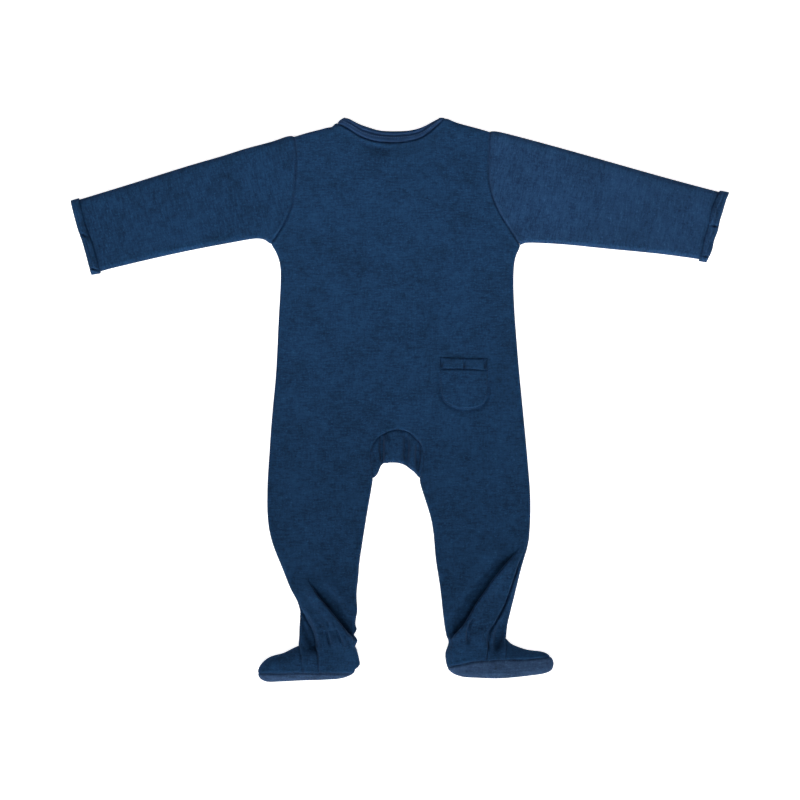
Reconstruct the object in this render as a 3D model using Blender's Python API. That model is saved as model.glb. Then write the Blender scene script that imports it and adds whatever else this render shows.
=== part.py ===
"""A baby's footed sleepsuit in cotton knit, laid flat with its back up.

The garment lies on z = 0 with the neck towards +Y and the wearer's left towards -X.
Two layers of cloth lie on each other. The upper layer is the back and the lower one
the fronts, and each sleeve, cuff, toe cap, sole, the gusset and the neckband go round
the edge from one layer to the other. Lengths below are in millimetres.
"""

import bmesh
import bpy
import numpy as np
from mathutils import Vector
from mathutils.bvhtree import BVHTree

MM = 0.001

# Cloth
WALL = 1.5  # knitted cotton with its surface
BAND_WALL = 1.8  # the neckband is folded double
POCKET_WALL = 1.3
HEM_WALL = 2.2  # the pocket's hem is folded double
SEAM_GAP = 0.3

# How the layers lie
LAID_HEIGHT = 5.6  # top of the upper layer, with the air between the layers
EDGE_SHARE = 0.42  # share of that height at which an edge turns
EDGE_REACH = 1.5  # length of an edge's round, for each millimetre of its height
TURN = np.array([0.0, 0.12, 0.47, 1.0])  # steps along an edge's round
SEAM_END = 6.0  # a seam's last step before an edge is shorter than this
CUFF_LIFT_START = 292.0  # a sleeve rises over its cuff's underside from here
CUFF_LIFT_RUN = 22.0

# Places on the garment's middle line, which carries the neck, gusset and front opening
CENTRE = -3.2
BACK_NECK = 269.6
FRONT_NECK = 229.0
UNDERARM = 163.0
SEAT = -29.0  # the section just above the gusset
CROTCH = -84.0

# Height added to or taken from the upper layer: middle, reach each way, rise
LOFT = [
    # x, y, reach x, reach y, rise
    (CENTRE, 279.0, 44.0, 19.0, -3.0),  # the back of the neck sinks between the shoulders
    (-85.0, -110.0, 45.0, 60.0, 1.2),  # left thigh
    (82.0, -110.0, 45.0, 60.0, 1.2),  # right thigh
    (-80.0, -243.0, 32.0, 22.0, 3.4),  # left ankle
    (84.0, -236.0, 32.0, 20.0, 3.4),  # right ankle
    (-100.0, -277.0, 60.0, 20.0, 5.6),  # left foot
    (106.0, -270.0, 60.0, 22.0, 5.6),  # right foot
    (-225.0, 200.0, 70.0, 50.0, 0.7),  # left sleeve
    (225.0, 205.0, 70.0, 50.0, 0.7),  # right sleeve
]

# Soft ridges and troughs: ends, half width, rise
CREASES = [
    # x1, y1, x2, y2, half width, rise
    (-43.0, 271.0, -18.0, 259.0, 5.0, -0.8),  # under the neckband
    (0.0, 52.0, 30.0, 46.0, 6.0, 0.5),  # into the pocket's corner
    (-110.0, 240.0, -96.0, 150.0, 9.0, -0.4),
    (98.0, 235.0, 88.0, 150.0, 9.0, -0.4),
    (-139.0, 190.0, -165.0, 235.0, 9.0, 0.6),
    (130.0, 190.0, 156.0, 235.0, 9.0, 0.6),
    (-121.0, 262.0, -122.0, 205.0, 5.0, 0.7),  # ease at the left sleeve's head
    (101.0, 265.0, 104.0, 212.0, 5.0, 0.7),  # ease at the right sleeve's head
    (-60.0, -60.0, -95.0, -150.0, 14.0, 0.8),
    (60.0, -60.0, 98.0, -150.0, 14.0, 0.8),
    (-17.3, -38.0, -17.0, -66.0, 3.4, -1.7),  # the gusset's left fold
    (5.0, -38.0, 6.0, -68.0, 3.6, -1.7),  # its middle fold
    (18.4, -46.0, 18.0, -74.0, 3.2, -1.5),  # its right fold
]

# The fold that runs across each calf: a crest with a steep drop on its inner side
FOLD_RISE = 5.0
FOLD_DEPTH = 1.4
FOLD_FOOT = 30.0  # width of the slope on the outer side
FOLD_DROP = 3.2  # width of the drop on the inner side
FOLD_VALLEY = 20.0  # width over which the valley rises again
FOLD_START = 0.35  # share of the fold's length over which it grows
FOLD_REACH = 90.0  # how far up and down the leg its slopes are felt

# The ankle: elastic stitched inside draws the cloth down and gathers it
ELASTIC_DEPTH = 1.3
ELASTIC_REACH = 3.5
ANKLE_WIDTH = 80.0
GATHER_RISE = 1.2
GATHER_NEAR = 2.0  # the gathers lie between these distances from the elastic
GATHER_FAR = 12.0
GATHER_COLUMNS = slice(4, 10, 2)

# Outlines of the flat garment and its seams, each a smooth curve through these points
LEFT = {
    "band_fold": [(-57.6, 294.9), (-65.4, 289.8)],
    "shoulder": [(-65.4, 289.8), (-71.6, 284.7), (-90.5, 280.4), (-110.7, 275.0)],
    "armhole": [
        (-110.7, 275.0), (-107.9, 263.4), (-108.5, 243.4), (-110.0, 217.6),
        (-113.3, 200.5), (-119.0, 186.5), (-134.8, 162.9),
    ],
    "sleeve_top": [
        (-110.7, 275.0), (-114.0, 276.2), (-161.3, 262.6), (-229.6, 241.9),
        (-335.0, 209.3), (-343.2, 206.8),
    ],
    "sleeve_under": [
        (-134.8, 162.9), (-142.0, 168.5), (-149.1, 170.2), (-160.2, 168.0),
        (-229.6, 154.7), (-276.7, 144.3), (-314.0, 135.2), (-322.6, 133.4),
    ],
    "cuff_edge": [
        (-335.0, 209.3), (-331.8, 194.3), (-327.1, 177.5), (-320.6, 160.7), (-314.0, 135.2),
    ],
    "cuff_end": [(-343.2, 206.8), (-334.6, 174.6), (-327.1, 152.2), (-322.6, 133.4)],
    "side": [
        (-134.8, 162.9), (-130.3, 156.7), (-125.8, 146.1), (-124.0, 136.5), (-124.1, 122.0),
        (-126.0, 85.2), (-129.2, 21.2), (-132.3, -9.3), (-135.9, -54.0), (-138.3, -93.1),
        (-137.6, -126.0), (-133.3, -147.2), (-118.8, -183.2), (-102.8, -219.2),
        (-104.1, -233.5), (-104.3, -246.6), (-105.2, -257.7),
    ],
    "instep": [
        (-105.2, -257.7), (-109.8, -259.4), (-115.5, -262.9), (-125.7, -266.2),
        (-134.1, -268.5), (-139.7, -271.8), (-144.5, -276.9), (-147.2, -282.0), (-147.6, -286.0),
    ],
    "sole_edge": [
        (-147.6, -286.0), (-146.4, -290.5), (-141.6, -294.4), (-124.8, -294.3),
        (-101.5, -293.2), (-78.1, -292.5), (-58.0, -290.5), (-49.5, -286.2),
    ],
    "inner_leg": [
        (-49.5, -286.2), (-44.5, -281.5), (-40.9, -276.5), (-42.6, -269.5), (-45.4, -259.0),
        (-45.6, -252.5), (-47.6, -246.8), (-45.4, -240.8), (-46.6, -235.0), (-44.4, -217.0),
        (-45.6, -203.0), (-43.2, -191.0), (-42.8, -177.0), (-40.8, -162.8), (-34.1, -119.6),
        (-28.4, -87.0), (-27.9, -82.4),
    ],
    "toe_seam": [(-105.2, -257.7), (-102.4, -269.0), (-100.9, -285.0)],
    "sole_seam": [
        (-147.6, -286.0), (-129.5, -286.2), (-100.9, -285.0), (-82.7, -285.6), (-49.5, -286.2),
    ],
    "side_seam": [
        (-102.8, -219.2), (-97.8, -230.5), (-90.0, -243.2), (-87.6, -254.0), (-85.6, -267.1),
        (-84.2, -285.6),
    ],
    "arch": [(CENTRE, -30.9), (-13.7, -33.8), (-21.4, -39.0), (-27.5, -45.6), (-30.1, -52.5)],
    "gusset_side": [(-30.1, -52.5), (-29.2, -68.0), (-27.9, -82.4)],
    "band_top": [
        (-57.6, 294.9), (-51.5, 293.2), (-42.0, 287.5), (-31.0, 283.2), (-18.0, 281.0),
        (CENTRE, 280.8),
    ],
    "neck": [
        (-65.4, 289.8), (-54.6, 284.9), (-41.0, 275.6), (-30.5, 272.2), (-20.9, 270.3),
        (CENTRE, BACK_NECK),
    ],
    "front_neck": [
        (-65.4, 289.8), (-60.0, 287.3), (-56.6, 281.0), (-52.0, 262.0), (-41.0, 244.5),
        (-22.0, 232.0), (CENTRE, FRONT_NECK),
    ],
    "front_band": [
        (-57.6, 294.9), (-51.0, 291.0), (-46.0, 282.5), (-42.0, 266.0), (-33.0, 252.0),
        (-18.5, 243.0), (CENTRE, 240.4),
    ],
    "fold": [
        (-98.8, -183.4), (-90.0, -192.8), (-75.6, -212.0), (-66.0, -227.7), (-55.1, -240.8),
        (-46.8, -248.1),
    ],
    "fold_column": [
        (-84.0, -84.0), (-96.0, -144.0), (-98.8, -180.0), (-90.0, -192.8), (-75.6, -212.0),
        (-67.5, -225.0), (-64.0, -236.0), (-66.0, -257.7), (-66.0, -285.0),
    ],
}
RIGHT = {
    "band_fold": [(41.8, 294.6), (46.5, 294.3)],
    "shoulder": [(46.5, 294.3), (54.9, 290.9), (63.3, 288.3), (79.0, 284.6), (94.7, 279.6)],
    "armhole": [
        (94.7, 279.6), (93.9, 263.3), (92.7, 246.5), (93.9, 226.1), (98.1, 209.4),
        (104.1, 196.3), (126.0, 162.2),
    ],
    "sleeve_top": [
        (94.7, 279.6), (98.6, 280.4), (104.0, 279.7), (153.2, 267.0), (251.6, 239.4),
        (334.7, 217.0), (342.2, 214.9),
    ],
    "sleeve_under": [
        (126.0, 162.2), (131.0, 164.9), (137.8, 164.6), (171.3, 162.8), (213.4, 158.5),
        (251.6, 155.1), (278.7, 152.6), (313.6, 147.6), (321.0, 146.3),
    ],
    "cuff_edge": [
        (334.7, 217.0), (331.0, 210.0), (325.9, 197.7), (324.0, 182.6), (319.4, 171.0),
        (316.9, 158.0), (313.6, 147.6),
    ],
    "cuff_end": [(342.2, 214.9), (337.1, 196.2), (332.3, 176.9), (327.1, 162.6), (321.0, 146.3)],
    "side": [
        (126.0, 162.2), (122.4, 154.6), (120.6, 146.2), (119.0, 130.1), (119.8, 101.2),
        (122.2, 66.1), (126.3, 17.9), (131.8, -38.0), (134.2, -65.0), (136.8, -99.1),
        (136.8, -123.2), (135.0, -145.0), (127.8, -170.0), (120.6, -201.2), (116.4, -221.6),
        (112.2, -234.0), (111.8, -241.0), (110.8, -248.9),
    ],
    "instep": [
        (110.8, -248.9), (114.1, -253.1), (123.4, -257.7), (133.7, -261.4), (143.0, -263.0),
        (151.6, -264.8), (157.4, -269.0),
    ],
    "sole_edge": [
        (157.4, -269.0), (161.2, -275.5), (158.4, -282.5), (152.3, -286.0), (139.3, -287.8),
        (120.6, -290.0), (102.9, -291.2), (78.6, -290.4), (65.0, -289.6), (55.6, -286.0),
        (50.6, -279.4),
    ],
    "inner_leg": [
        (50.6, -279.4), (47.6, -273.6), (47.5, -268.0), (49.7, -260.6), (52.0, -253.5),
        (51.0, -248.5), (48.1, -242.0), (45.5, -219.2), (43.2, -192.8), (38.4, -166.4),
        (34.0, -128.0), (24.6, -98.0), (21.0, -86.0), (20.6, -82.0),
    ],
    "toe_seam": [(110.8, -248.9), (111.9, -257.0), (110.6, -271.0)],
    "sole_seam": [
        (157.4, -269.0), (143.9, -270.2), (130.0, -271.2), (110.6, -271.0), (92.6, -272.2),
        (78.0, -273.4), (66.0, -276.4), (50.6, -279.4),
    ],
    "side_seam": [
        (133.2, -151.5), (130.4, -158.6), (120.6, -182.0), (114.5, -201.2), (111.6, -213.2),
        (102.6, -228.8), (97.8, -237.3), (94.1, -251.4), (90.5, -272.3),
    ],
    "arch": [
        (CENTRE, -30.9), (5.4, -32.5), (14.1, -37.3), (21.0, -44.6), (24.9, -52.5), (25.3, -59.4),
    ],
    "gusset_side": [(25.3, -59.4), (23.5, -71.0), (20.6, -82.0)],
    "band_top": [
        (41.8, 294.6), (35.0, 290.6), (25.6, 285.6), (16.2, 282.4), (5.8, 281.0), (CENTRE, 280.8),
    ],
    "neck": [
        (46.5, 294.3), (40.3, 288.6), (29.8, 279.4), (21.4, 274.0), (14.1, 272.1), (5.8, 270.4),
        (CENTRE, BACK_NECK),
    ],
    "front_neck": [
        (46.5, 294.3), (42.6, 290.7), (41.0, 284.0), (40.0, 266.0), (31.0, 245.5), (14.0, 232.0),
        (CENTRE, FRONT_NECK),
    ],
    "front_band": [
        (41.8, 294.6), (36.4, 291.4), (31.6, 284.0), (29.0, 268.0), (21.5, 252.8), (10.0, 243.0),
        (CENTRE, 240.4),
    ],
    "fold": [
        (126.6, -139.5), (120.6, -158.0), (100.2, -183.2), (82.1, -207.3), (71.3, -222.9),
        (59.4, -240.8), (53.3, -246.8),
    ],
    "fold_column": [
        (80.0, -84.0), (104.0, -126.0), (112.0, -150.0), (113.0, -166.0), (100.2, -183.2),
        (82.1, -207.3), (73.0, -220.0), (69.0, -232.0), (70.0, -248.9), (70.0, -273.4),
    ],
}
CROTCH_EDGE = [
    (20.6, -82.0), (17.6, -77.6), (11.5, -72.6), (6.4, -68.6), (1.0, -66.0), (-5.0, -65.0),
    (-16.3, -65.4), (-20.4, -69.0), (-22.2, -74.6), (-24.6, -79.4), (-27.9, -82.4),
]

# Levels at which the body and the legs are given a section
BODY_LEVELS = [156.0, 147.0, 136.0, 114.0, 92.0, 68.0, 44.0, 20.0, -6.0]
HIP_LEVELS = [SEAT, -36.0, -42.0, -48.0, -54.0, -62.0, -71.0, -77.5, -82.0]
LEFT["levels"] = [-88, -98, -112, -128, -144, -160, -174, -187, -199, -211, -222, -233, -243, -250]
RIGHT["levels"] = [-88, -98, -112, -127, -142, -156, -169, -182, -195, -207, -218, -227, -236, -243]
LEFT["elastic"] = -243.0
RIGHT["elastic"] = -236.0
ARMHOLE_STEPS = 13
ARCH_STEPS = 4
NECK_STEPS = 7
FOOT_STEPS = 7
COLUMNS = 13

# The pocket on the seat, its hem, and the underlap of the front opening
POCKET_TOP = [(41.6, 44.4), (67.5, 43.0), (92.2, 43.0)]
POCKET_HEM_EDGE = [(42.2, 32.6), (67.5, 32.4), (92.2, 31.0)]
POCKET_SIDES = ([(42.6, 8.0), (47.6, -3.4)], [(92.4, 4.0), (88.6, -5.0)])
POCKET_BOTTOM = [(47.6, -3.4), (57.4, -9.2), (69.5, -10.6), (80.5, -9.4), (88.6, -5.0)]
POCKET_STEPS = 8
UNDERLAP_WIDTH = 20.0
UNDERLAP_WALL = 1.2
UNDERLAP_TOP = 226.0
UNDERLAP_END = -29.0

NAVY = (0.0125, 0.038, 0.096, 1.0)
NAVY_RIB = (0.014, 0.041, 0.102, 1.0)


# Curves

def smooth(points, steps=8):
    """A centripetal Catmull-Rom curve through the points, as a fine polyline."""
    points = np.asarray(points, float)
    if len(points) == 2:
        return points[0] + (points[1] - points[0]) * np.linspace(0, 1, steps + 1)[:, None]
    ends = np.vstack([2 * points[0] - points[1], points, 2 * points[-1] - points[-2]])
    knots = np.concatenate([[0], np.cumsum(np.linalg.norm(np.diff(ends, axis=0), axis=1) ** 0.5)])
    curve = [points[0]]
    for k in range(1, len(ends) - 2):
        t0, t1, t2, t3 = knots[k - 1:k + 3]
        p0, p1, p2, p3 = ends[k - 1:k + 3]
        for t in np.linspace(t1, t2, steps + 1)[1:]:
            a = p0 + (p1 - p0) * (t - t0) / (t1 - t0)
            b = p1 + (p2 - p1) * (t - t1) / (t2 - t1)
            c = p2 + (p3 - p2) * (t - t2) / (t3 - t2)
            d = a + (b - a) * (t - t0) / (t2 - t0)
            e = b + (c - b) * (t - t1) / (t3 - t1)
            curve.append(d + (e - d) * (t - t1) / (t2 - t1))
    return np.array(curve)


def length(curve):
    return np.linalg.norm(np.diff(curve, axis=0), axis=1).sum()


def along(curve, distances):
    """Points at these distances from the curve's start."""
    run = np.concatenate([[0], np.cumsum(np.linalg.norm(np.diff(curve, axis=0), axis=1))])
    return np.column_stack([np.interp(distances, run, curve[:, axis]) for axis in (0, 1)])


def from_start(curve):
    """The curve's point half a seam gap from its start."""
    return along(curve, [SEAM_GAP / 2])[0]


def from_end(curve):
    return along(curve, [length(curve) - SEAM_GAP / 2])[0]


def at_level(curve, level):
    """The curve's point at a level; the curve runs down or up all the way."""
    falling = curve[0, 1] > curve[-1, 1]
    points = curve[::-1] if falling else curve
    return np.array([np.interp(level, points[:, 1], points[:, 0]), level])


def beside(points, distance):
    """The polyline moved to its left by a distance, each corner along its mitre."""
    way = np.diff(points, axis=0)
    way /= np.linalg.norm(way, axis=1)[:, None]
    normals = np.column_stack([-way[:, 1], way[:, 0]])
    normals = np.vstack([normals[:1], normals, normals[-1:]])
    mitre = normals[:-1] + normals[1:]
    mitre /= (mitre * normals[1:]).sum(1)[:, None]
    return points + distance * mitre


def ease(x):
    x = np.clip(x, 0, 1)
    return x * x * (3 - 2 * x)


SIDES = {"left": LEFT, "right": RIGHT}
for side in SIDES.values():
    for name, points in side.items():
        if name not in ("levels", "elastic"):
            side[name] = smooth(points)


# How high the cloth lies at each place

def outline_pieces():
    """The edges at which the cloth turns from one layer to the other, clockwise."""
    for first, second in (
        (RIGHT["band_fold"], RIGHT["shoulder"]),
        (RIGHT["sleeve_top"], None),
        (LEFT["sleeve_top"][::-1], None),
        (LEFT["shoulder"][::-1], LEFT["band_fold"][::-1]),
    ):
        yield first if second is None else np.vstack([first, second[1:]])
    lower = [RIGHT["sleeve_under"][::-1], RIGHT["side"], RIGHT["instep"], RIGHT["sole_edge"],
             RIGHT["inner_leg"], smooth(CROTCH_EDGE), LEFT["inner_leg"][::-1],
             LEFT["sole_edge"][::-1], LEFT["instep"][::-1], LEFT["side"][::-1],
             LEFT["sleeve_under"]]
    yield np.vstack([lower[0]] + [piece[1:] for piece in lower[1:]])


def edge_segments():
    starts, ends, outward = [], [], []
    for piece in outline_pieces():
        way = np.diff(piece, axis=0)
        keep = np.linalg.norm(way, axis=1) > 1e-9
        wide = np.array([piece[min(k + 3, len(piece) - 1)] - piece[max(k - 2, 0)]
                         for k in range(len(way))])
        wide /= np.linalg.norm(wide, axis=1)[:, None]
        starts.append(piece[:-1][keep])
        ends.append(piece[1:][keep])
        outward.append(np.column_stack([-wide[:, 1], wide[:, 0]])[keep])
    return np.vstack(starts), np.vstack(ends), np.vstack(outward)


EDGE_STARTS, EDGE_ENDS, EDGE_OUTWARD = edge_segments()


def to_edge(points):
    """Distance of each plan point from the nearest edge, and the way out to it."""
    points = np.atleast_2d(points)[:, :2]
    run = EDGE_ENDS - EDGE_STARTS
    offset = points[:, None] - EDGE_STARTS[None]
    share = np.clip((offset * run).sum(2) / (run * run).sum(1), 0, 1)
    reach = EDGE_STARTS + share[..., None] * run - points[:, None]
    gaps = np.linalg.norm(reach, axis=2)
    nearest = gaps.argmin(1)
    rows = np.arange(len(points))
    distance = gaps[rows, nearest]
    way = np.where((distance > 0.02)[:, None], reach[rows, nearest], EDGE_OUTWARD[nearest])
    return distance, way / np.linalg.norm(way, axis=1)[:, None]


def to_line(points, line):
    """Distance from an open polyline, signed by side (left is positive), and share along it."""
    run = np.diff(line, axis=0)
    size = np.linalg.norm(run, axis=1)
    offset = points[:, None] - line[None, :-1]
    share = np.clip((offset * run).sum(2) / (size * size), 0, 1)
    gap = points[:, None] - (line[:-1] + share[..., None] * run)
    nearest = np.linalg.norm(gap, axis=2).argmin(1)
    rows = np.arange(len(points))
    cross = run[nearest, 0] * offset[rows, nearest, 1] - run[nearest, 1] * offset[rows, nearest, 0]
    before = np.concatenate([[0], np.cumsum(size)])
    place = before[nearest] + share[rows, nearest] * size[nearest]
    return np.copysign(np.linalg.norm(gap[rows, nearest], axis=1), cross), place / before[-1]


def height(points):
    """Height of the laid cloth without its creases."""
    total = np.full(len(points), LAID_HEIGHT)
    for x, y, reach_x, reach_y, rise in LOFT:
        total += rise * np.exp(-((points[:, 0] - x) / reach_x) ** 2 - ((points[:, 1] - y) / reach_y) ** 2)
    return total


def raised(points):
    """How far a sleeve's end is lifted by the turned-back cuff that lies under it."""
    beyond = np.abs(points[:, 0]) - CUFF_LIFT_START
    return (WALL + SEAM_GAP) * ease(beyond / CUFF_LIFT_RUN)


def creases(points):
    """Rise or fall of the upper layer in its folds."""
    total = np.zeros(len(points))
    for x1, y1, x2, y2, width, rise in CREASES:
        gap, place = to_line(points, np.array([(x1, y1), (x2, y2)]))
        fading = np.clip(1.3 - (2 * place - 1) ** 2, 0, 1)
        total += rise * fading * np.exp(-(gap / width) ** 2)
    for side, inner in ((LEFT, 1), (RIGHT, -1)):
        fold = side["fold"]
        gap, place = to_line(points, fold)
        gap = gap * inner
        slope = FOLD_RISE * (1 - ease(-gap / FOLD_FOOT))
        drop = FOLD_RISE - (FOLD_RISE + FOLD_DEPTH) * np.clip(gap / FOLD_DROP, 0, 1)
        valley = -FOLD_DEPTH * (1 - ease((gap - FOLD_DROP) / FOLD_VALLEY))
        shape = np.where(gap < 0, slope, np.where(gap < FOLD_DROP, drop, valley))
        near = np.abs(points[:, 1] - fold[:, 1].mean()) < FOLD_REACH
        own_leg = points[:, 0] * inner < 0
        total += shape * ease(place / FOLD_START) * near * own_leg
        beside_elastic = np.exp(-((points[:, 1] - side["elastic"]) / ELASTIC_REACH) ** 2)
        on_ankle = np.abs(points[:, 0] - fold[-1, 0]) < ANKLE_WIDTH
        total -= ELASTIC_DEPTH * beside_elastic * on_ankle
    return total


def lay(points, layer, seam=0.0, extra=0.0):
    """Places plan points on the outer skin of the upper or lower layer.

    seam moves the edge of a piece that ends there off the piece it is sewn to.
    """
    points = np.atleast_2d(points)
    distance, _ = to_edge(points)
    base = raised(points)
    tall = height(points)
    middle = base + EDGE_SHARE * tall + seam
    turn = np.clip(distance / (EDGE_REACH * (1 - EDGE_SHARE) * tall), 0, 1)
    share = np.sqrt(1 - (1 - turn) ** 2)
    if layer == "upper":
        top = base + tall + creases(points) + extra
        z = middle + (top - middle) * share
    else:
        z = middle + (base - middle) * share
    return np.column_stack([points, z])


def outward(points):
    """Outward normals of the cloth's skin at points on it, without its creases."""
    distance, way = to_edge(points)
    tall = height(points[:, :2])
    base = raised(points[:, :2])
    middle = base + EDGE_SHARE * tall
    turn = np.clip(distance / (EDGE_REACH * (1 - EDGE_SHARE) * tall), 0, 1)
    cos = 1 - turn
    sin = np.sqrt(1 - cos ** 2)
    upper = points[:, 2] >= middle
    rise = np.where(upper, 1 / ((1 - EDGE_SHARE) * tall), -1 / (EDGE_SHARE * tall)) * sin
    flat = way * (cos / (EDGE_REACH * (1 - EDGE_SHARE) * tall))[:, None]
    normal = np.column_stack([flat, rise])
    return normal / np.linalg.norm(normal, axis=1)[:, None]


def turn_length(point):
    """Length of the edge's round at a plan point."""
    return EDGE_REACH * (1 - EDGE_SHARE) * height(np.atleast_2d(point))[0]


# Solids

def material(name, colour, roughness=0.92):
    made = bpy.data.materials.new(name)
    made.use_nodes = True
    shader = made.node_tree.nodes["Principled BSDF"]
    shader.inputs["Base Color"].default_value = colour
    shader.inputs["Roughness"].default_value = roughness
    shader.inputs["Metallic"].default_value = 0.0
    return made


def add_object(name, bm, colour):
    for vertex in bm.verts:
        vertex.co *= MM
    mesh = bpy.data.meshes.new(name)
    bm.to_mesh(mesh)
    bm.free()
    mesh.materials.append(material(name + "_knit", colour))
    made = bpy.data.objects.new(name, mesh)
    bpy.context.scene.collection.objects.link(made)
    return made


def grid_faces(bm, grids):
    """Faces over grids of points; a grid's rows run so that its faces point outward."""
    for grid in grids:
        rows, columns = grid.shape[:2]
        made = [[bm.verts.new(grid[r, c]) for c in range(columns)] for r in range(rows)]
        for r in range(rows - 1):
            for c in range(columns - 1):
                bm.faces.new((made[r][c], made[r + 1][c], made[r + 1][c + 1], made[r][c + 1]))
    bmesh.ops.remove_doubles(bm, verts=bm.verts, dist=0.01)


def rim_normals(vertices):
    """Outward normals round a piece's rim, by vertex number.

    On an edge of the garment the normal points out level. Along a seam the wall's rim
    stays over the seam, so the normal has nothing across it, and where the seam reaches
    an edge the rim runs in along the seam.
    """
    rims = [vertex for vertex in vertices if vertex.is_boundary]
    places = np.array([vertex.co for vertex in rims])
    distance, _ = to_edge(places)
    on_edge = {vertex: gap < 0.05 for vertex, gap in zip(rims, distance)}
    number = {vertex: k for k, vertex in enumerate(vertices)}
    for vertex, normal in zip(rims, outward(places)):
        others = [edge.other_vert(vertex) for edge in vertex.link_edges if edge.is_boundary]
        if not on_edge[vertex]:
            run = (others[0].co - others[1].co).to_2d().normalized()
            level = run * run.dot(Vector(normal[:2]))
            normal = np.array([level.x, level.y, normal[2]])
            yield number[vertex], normal / np.linalg.norm(normal)
            continue
        ways = [vertex.co - other.co for other in others
                if not on_edge[other] and (vertex.co - other.co).length < SEAM_END]
        if ways:
            way = sum(ways, Vector())
            way.z = 0
            normal = np.array(way.normalized())
        yield number[vertex], normal


def wall(name, grids, colour=NAVY, thickness=WALL, stand_off=0.0):
    """A closed wall of cloth under outer skins, whose coinciding edges are joined.

    With a stand_off, the grids are the skin of what the wall goes round.
    """
    bm = bmesh.new()
    grid_faces(bm, grids)
    bm.normal_update()
    outer = list(bm.verts)
    places = np.array([vertex.co for vertex in outer])
    normals = np.array([vertex.normal for vertex in outer])
    if stand_off:
        normals = outward(places)
    else:
        for number, normal in rim_normals(outer):
            normals[number] = normal
    boundary = [(*edge.verts, edge.link_faces[0]) for edge in bm.edges if edge.is_boundary]
    skins = list(bm.faces)
    below = places + normals * (stand_off - thickness)
    inner = {vertex: bm.verts.new(place) for vertex, place in zip(outer, below)}
    for face in skins:
        bm.faces.new([inner[vertex] for vertex in reversed(face.verts)])
    for first, second, face in boundary:
        corners = list(face.verts)
        if corners[(corners.index(first) + 1) % len(corners)] is not second:
            first, second = second, first
        # Both sides of a seam are split from their upper outer corner, so they stay apart
        if first.co.y > second.co.y:
            bm.faces.new((second, first, inner[second]))
            bm.faces.new((first, inner[first], inner[second]))
        else:
            bm.faces.new((second, first, inner[first]))
            bm.faces.new((second, inner[first], inner[second]))
    if stand_off:
        for vertex, place, normal in zip(outer, places, normals):
            vertex.co = Vector(place + normal * stand_off)
    return add_object(name, bm, colour)


# Sections

def spread(start, end, before, after, count):
    """Shares of a row's width for its columns: the rounds of both edges, even between."""
    width = np.linalg.norm(end - start)
    first = TURN * before / width
    last = 1 - TURN[::-1] * after / width
    between = np.linspace(first[-1], last[0], count - 2 * len(TURN) + 2)[1:-1]
    return np.concatenate([first, between, last])


def even_shares(start, end):
    """Shares of a row that ends at the garment's middle: a round at its start alone."""
    width = np.linalg.norm(end - start)
    first = TURN * turn_length(start) / width
    return np.concatenate([first, np.linspace(first[-1], 1, COLUMNS - len(TURN) + 1)[1:]])


def leg_shares(start, end, column):
    """Shares of a row across a leg, with two columns on the calf's fold and its drop."""
    width = np.linalg.norm(end - start)
    first = TURN * turn_length(start) / width
    last = 1 - TURN[::-1] * turn_length(end) / width
    crest = (column - start[0]) / (end[0] - start[0])
    crest = np.clip(crest, first[-1] + 0.06, last[0] - 0.18)
    drop = crest + FOLD_DROP * 1.3 / width
    before = np.linspace(first[-1], crest, 4)[1:-1]
    after = (drop + last[0]) / 2
    return np.concatenate([first, before, [crest, drop, after], last])


def armhole_stations(side):
    whole = length(side["armhole"])
    turn = turn_length(side["armhole"][0])
    top = TURN * turn
    under = whole - np.array([1.0, 0.45, 0.0]) * turn
    between = np.linspace(top[-1], under[0], ARMHOLE_STEPS - 5)[1:-1]
    return along(side["armhole"], np.concatenate([top, between, under]))


def neck_stations(side, curve):
    whole = length(side[curve])
    first = turn_length(side[curve][0])
    return along(side[curve], np.concatenate([[0], np.linspace(first, whole, NECK_STEPS)]))


def gusset_stations(side):
    """From the arch's top down to the crotch corner."""
    whole = length(side["gusset_side"])
    turn = turn_length(side["gusset_side"][-1])
    arch = along(side["arch"], np.linspace(0, length(side["arch"]), ARCH_STEPS + 1))
    steps = np.array([(whole - turn) / 2, whole - turn, whole - TURN[2] * turn, whole])
    return np.vstack([arch, along(side["gusset_side"], steps)])


def toe_stations(side):
    whole = length(side["toe_seam"])
    turn = turn_length(side["toe_seam"][0])
    even = np.linspace(turn, whole, FOOT_STEPS - len(TURN) + 1)[1:]
    return along(side["toe_seam"], np.concatenate([TURN * turn, even]))


def seat_on(curve, x):
    """The point at this x of a curve that runs across."""
    order = curve[:, 0].argsort()
    return np.array([x, np.interp(x, curve[order, 0], curve[order, 1])])


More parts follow.
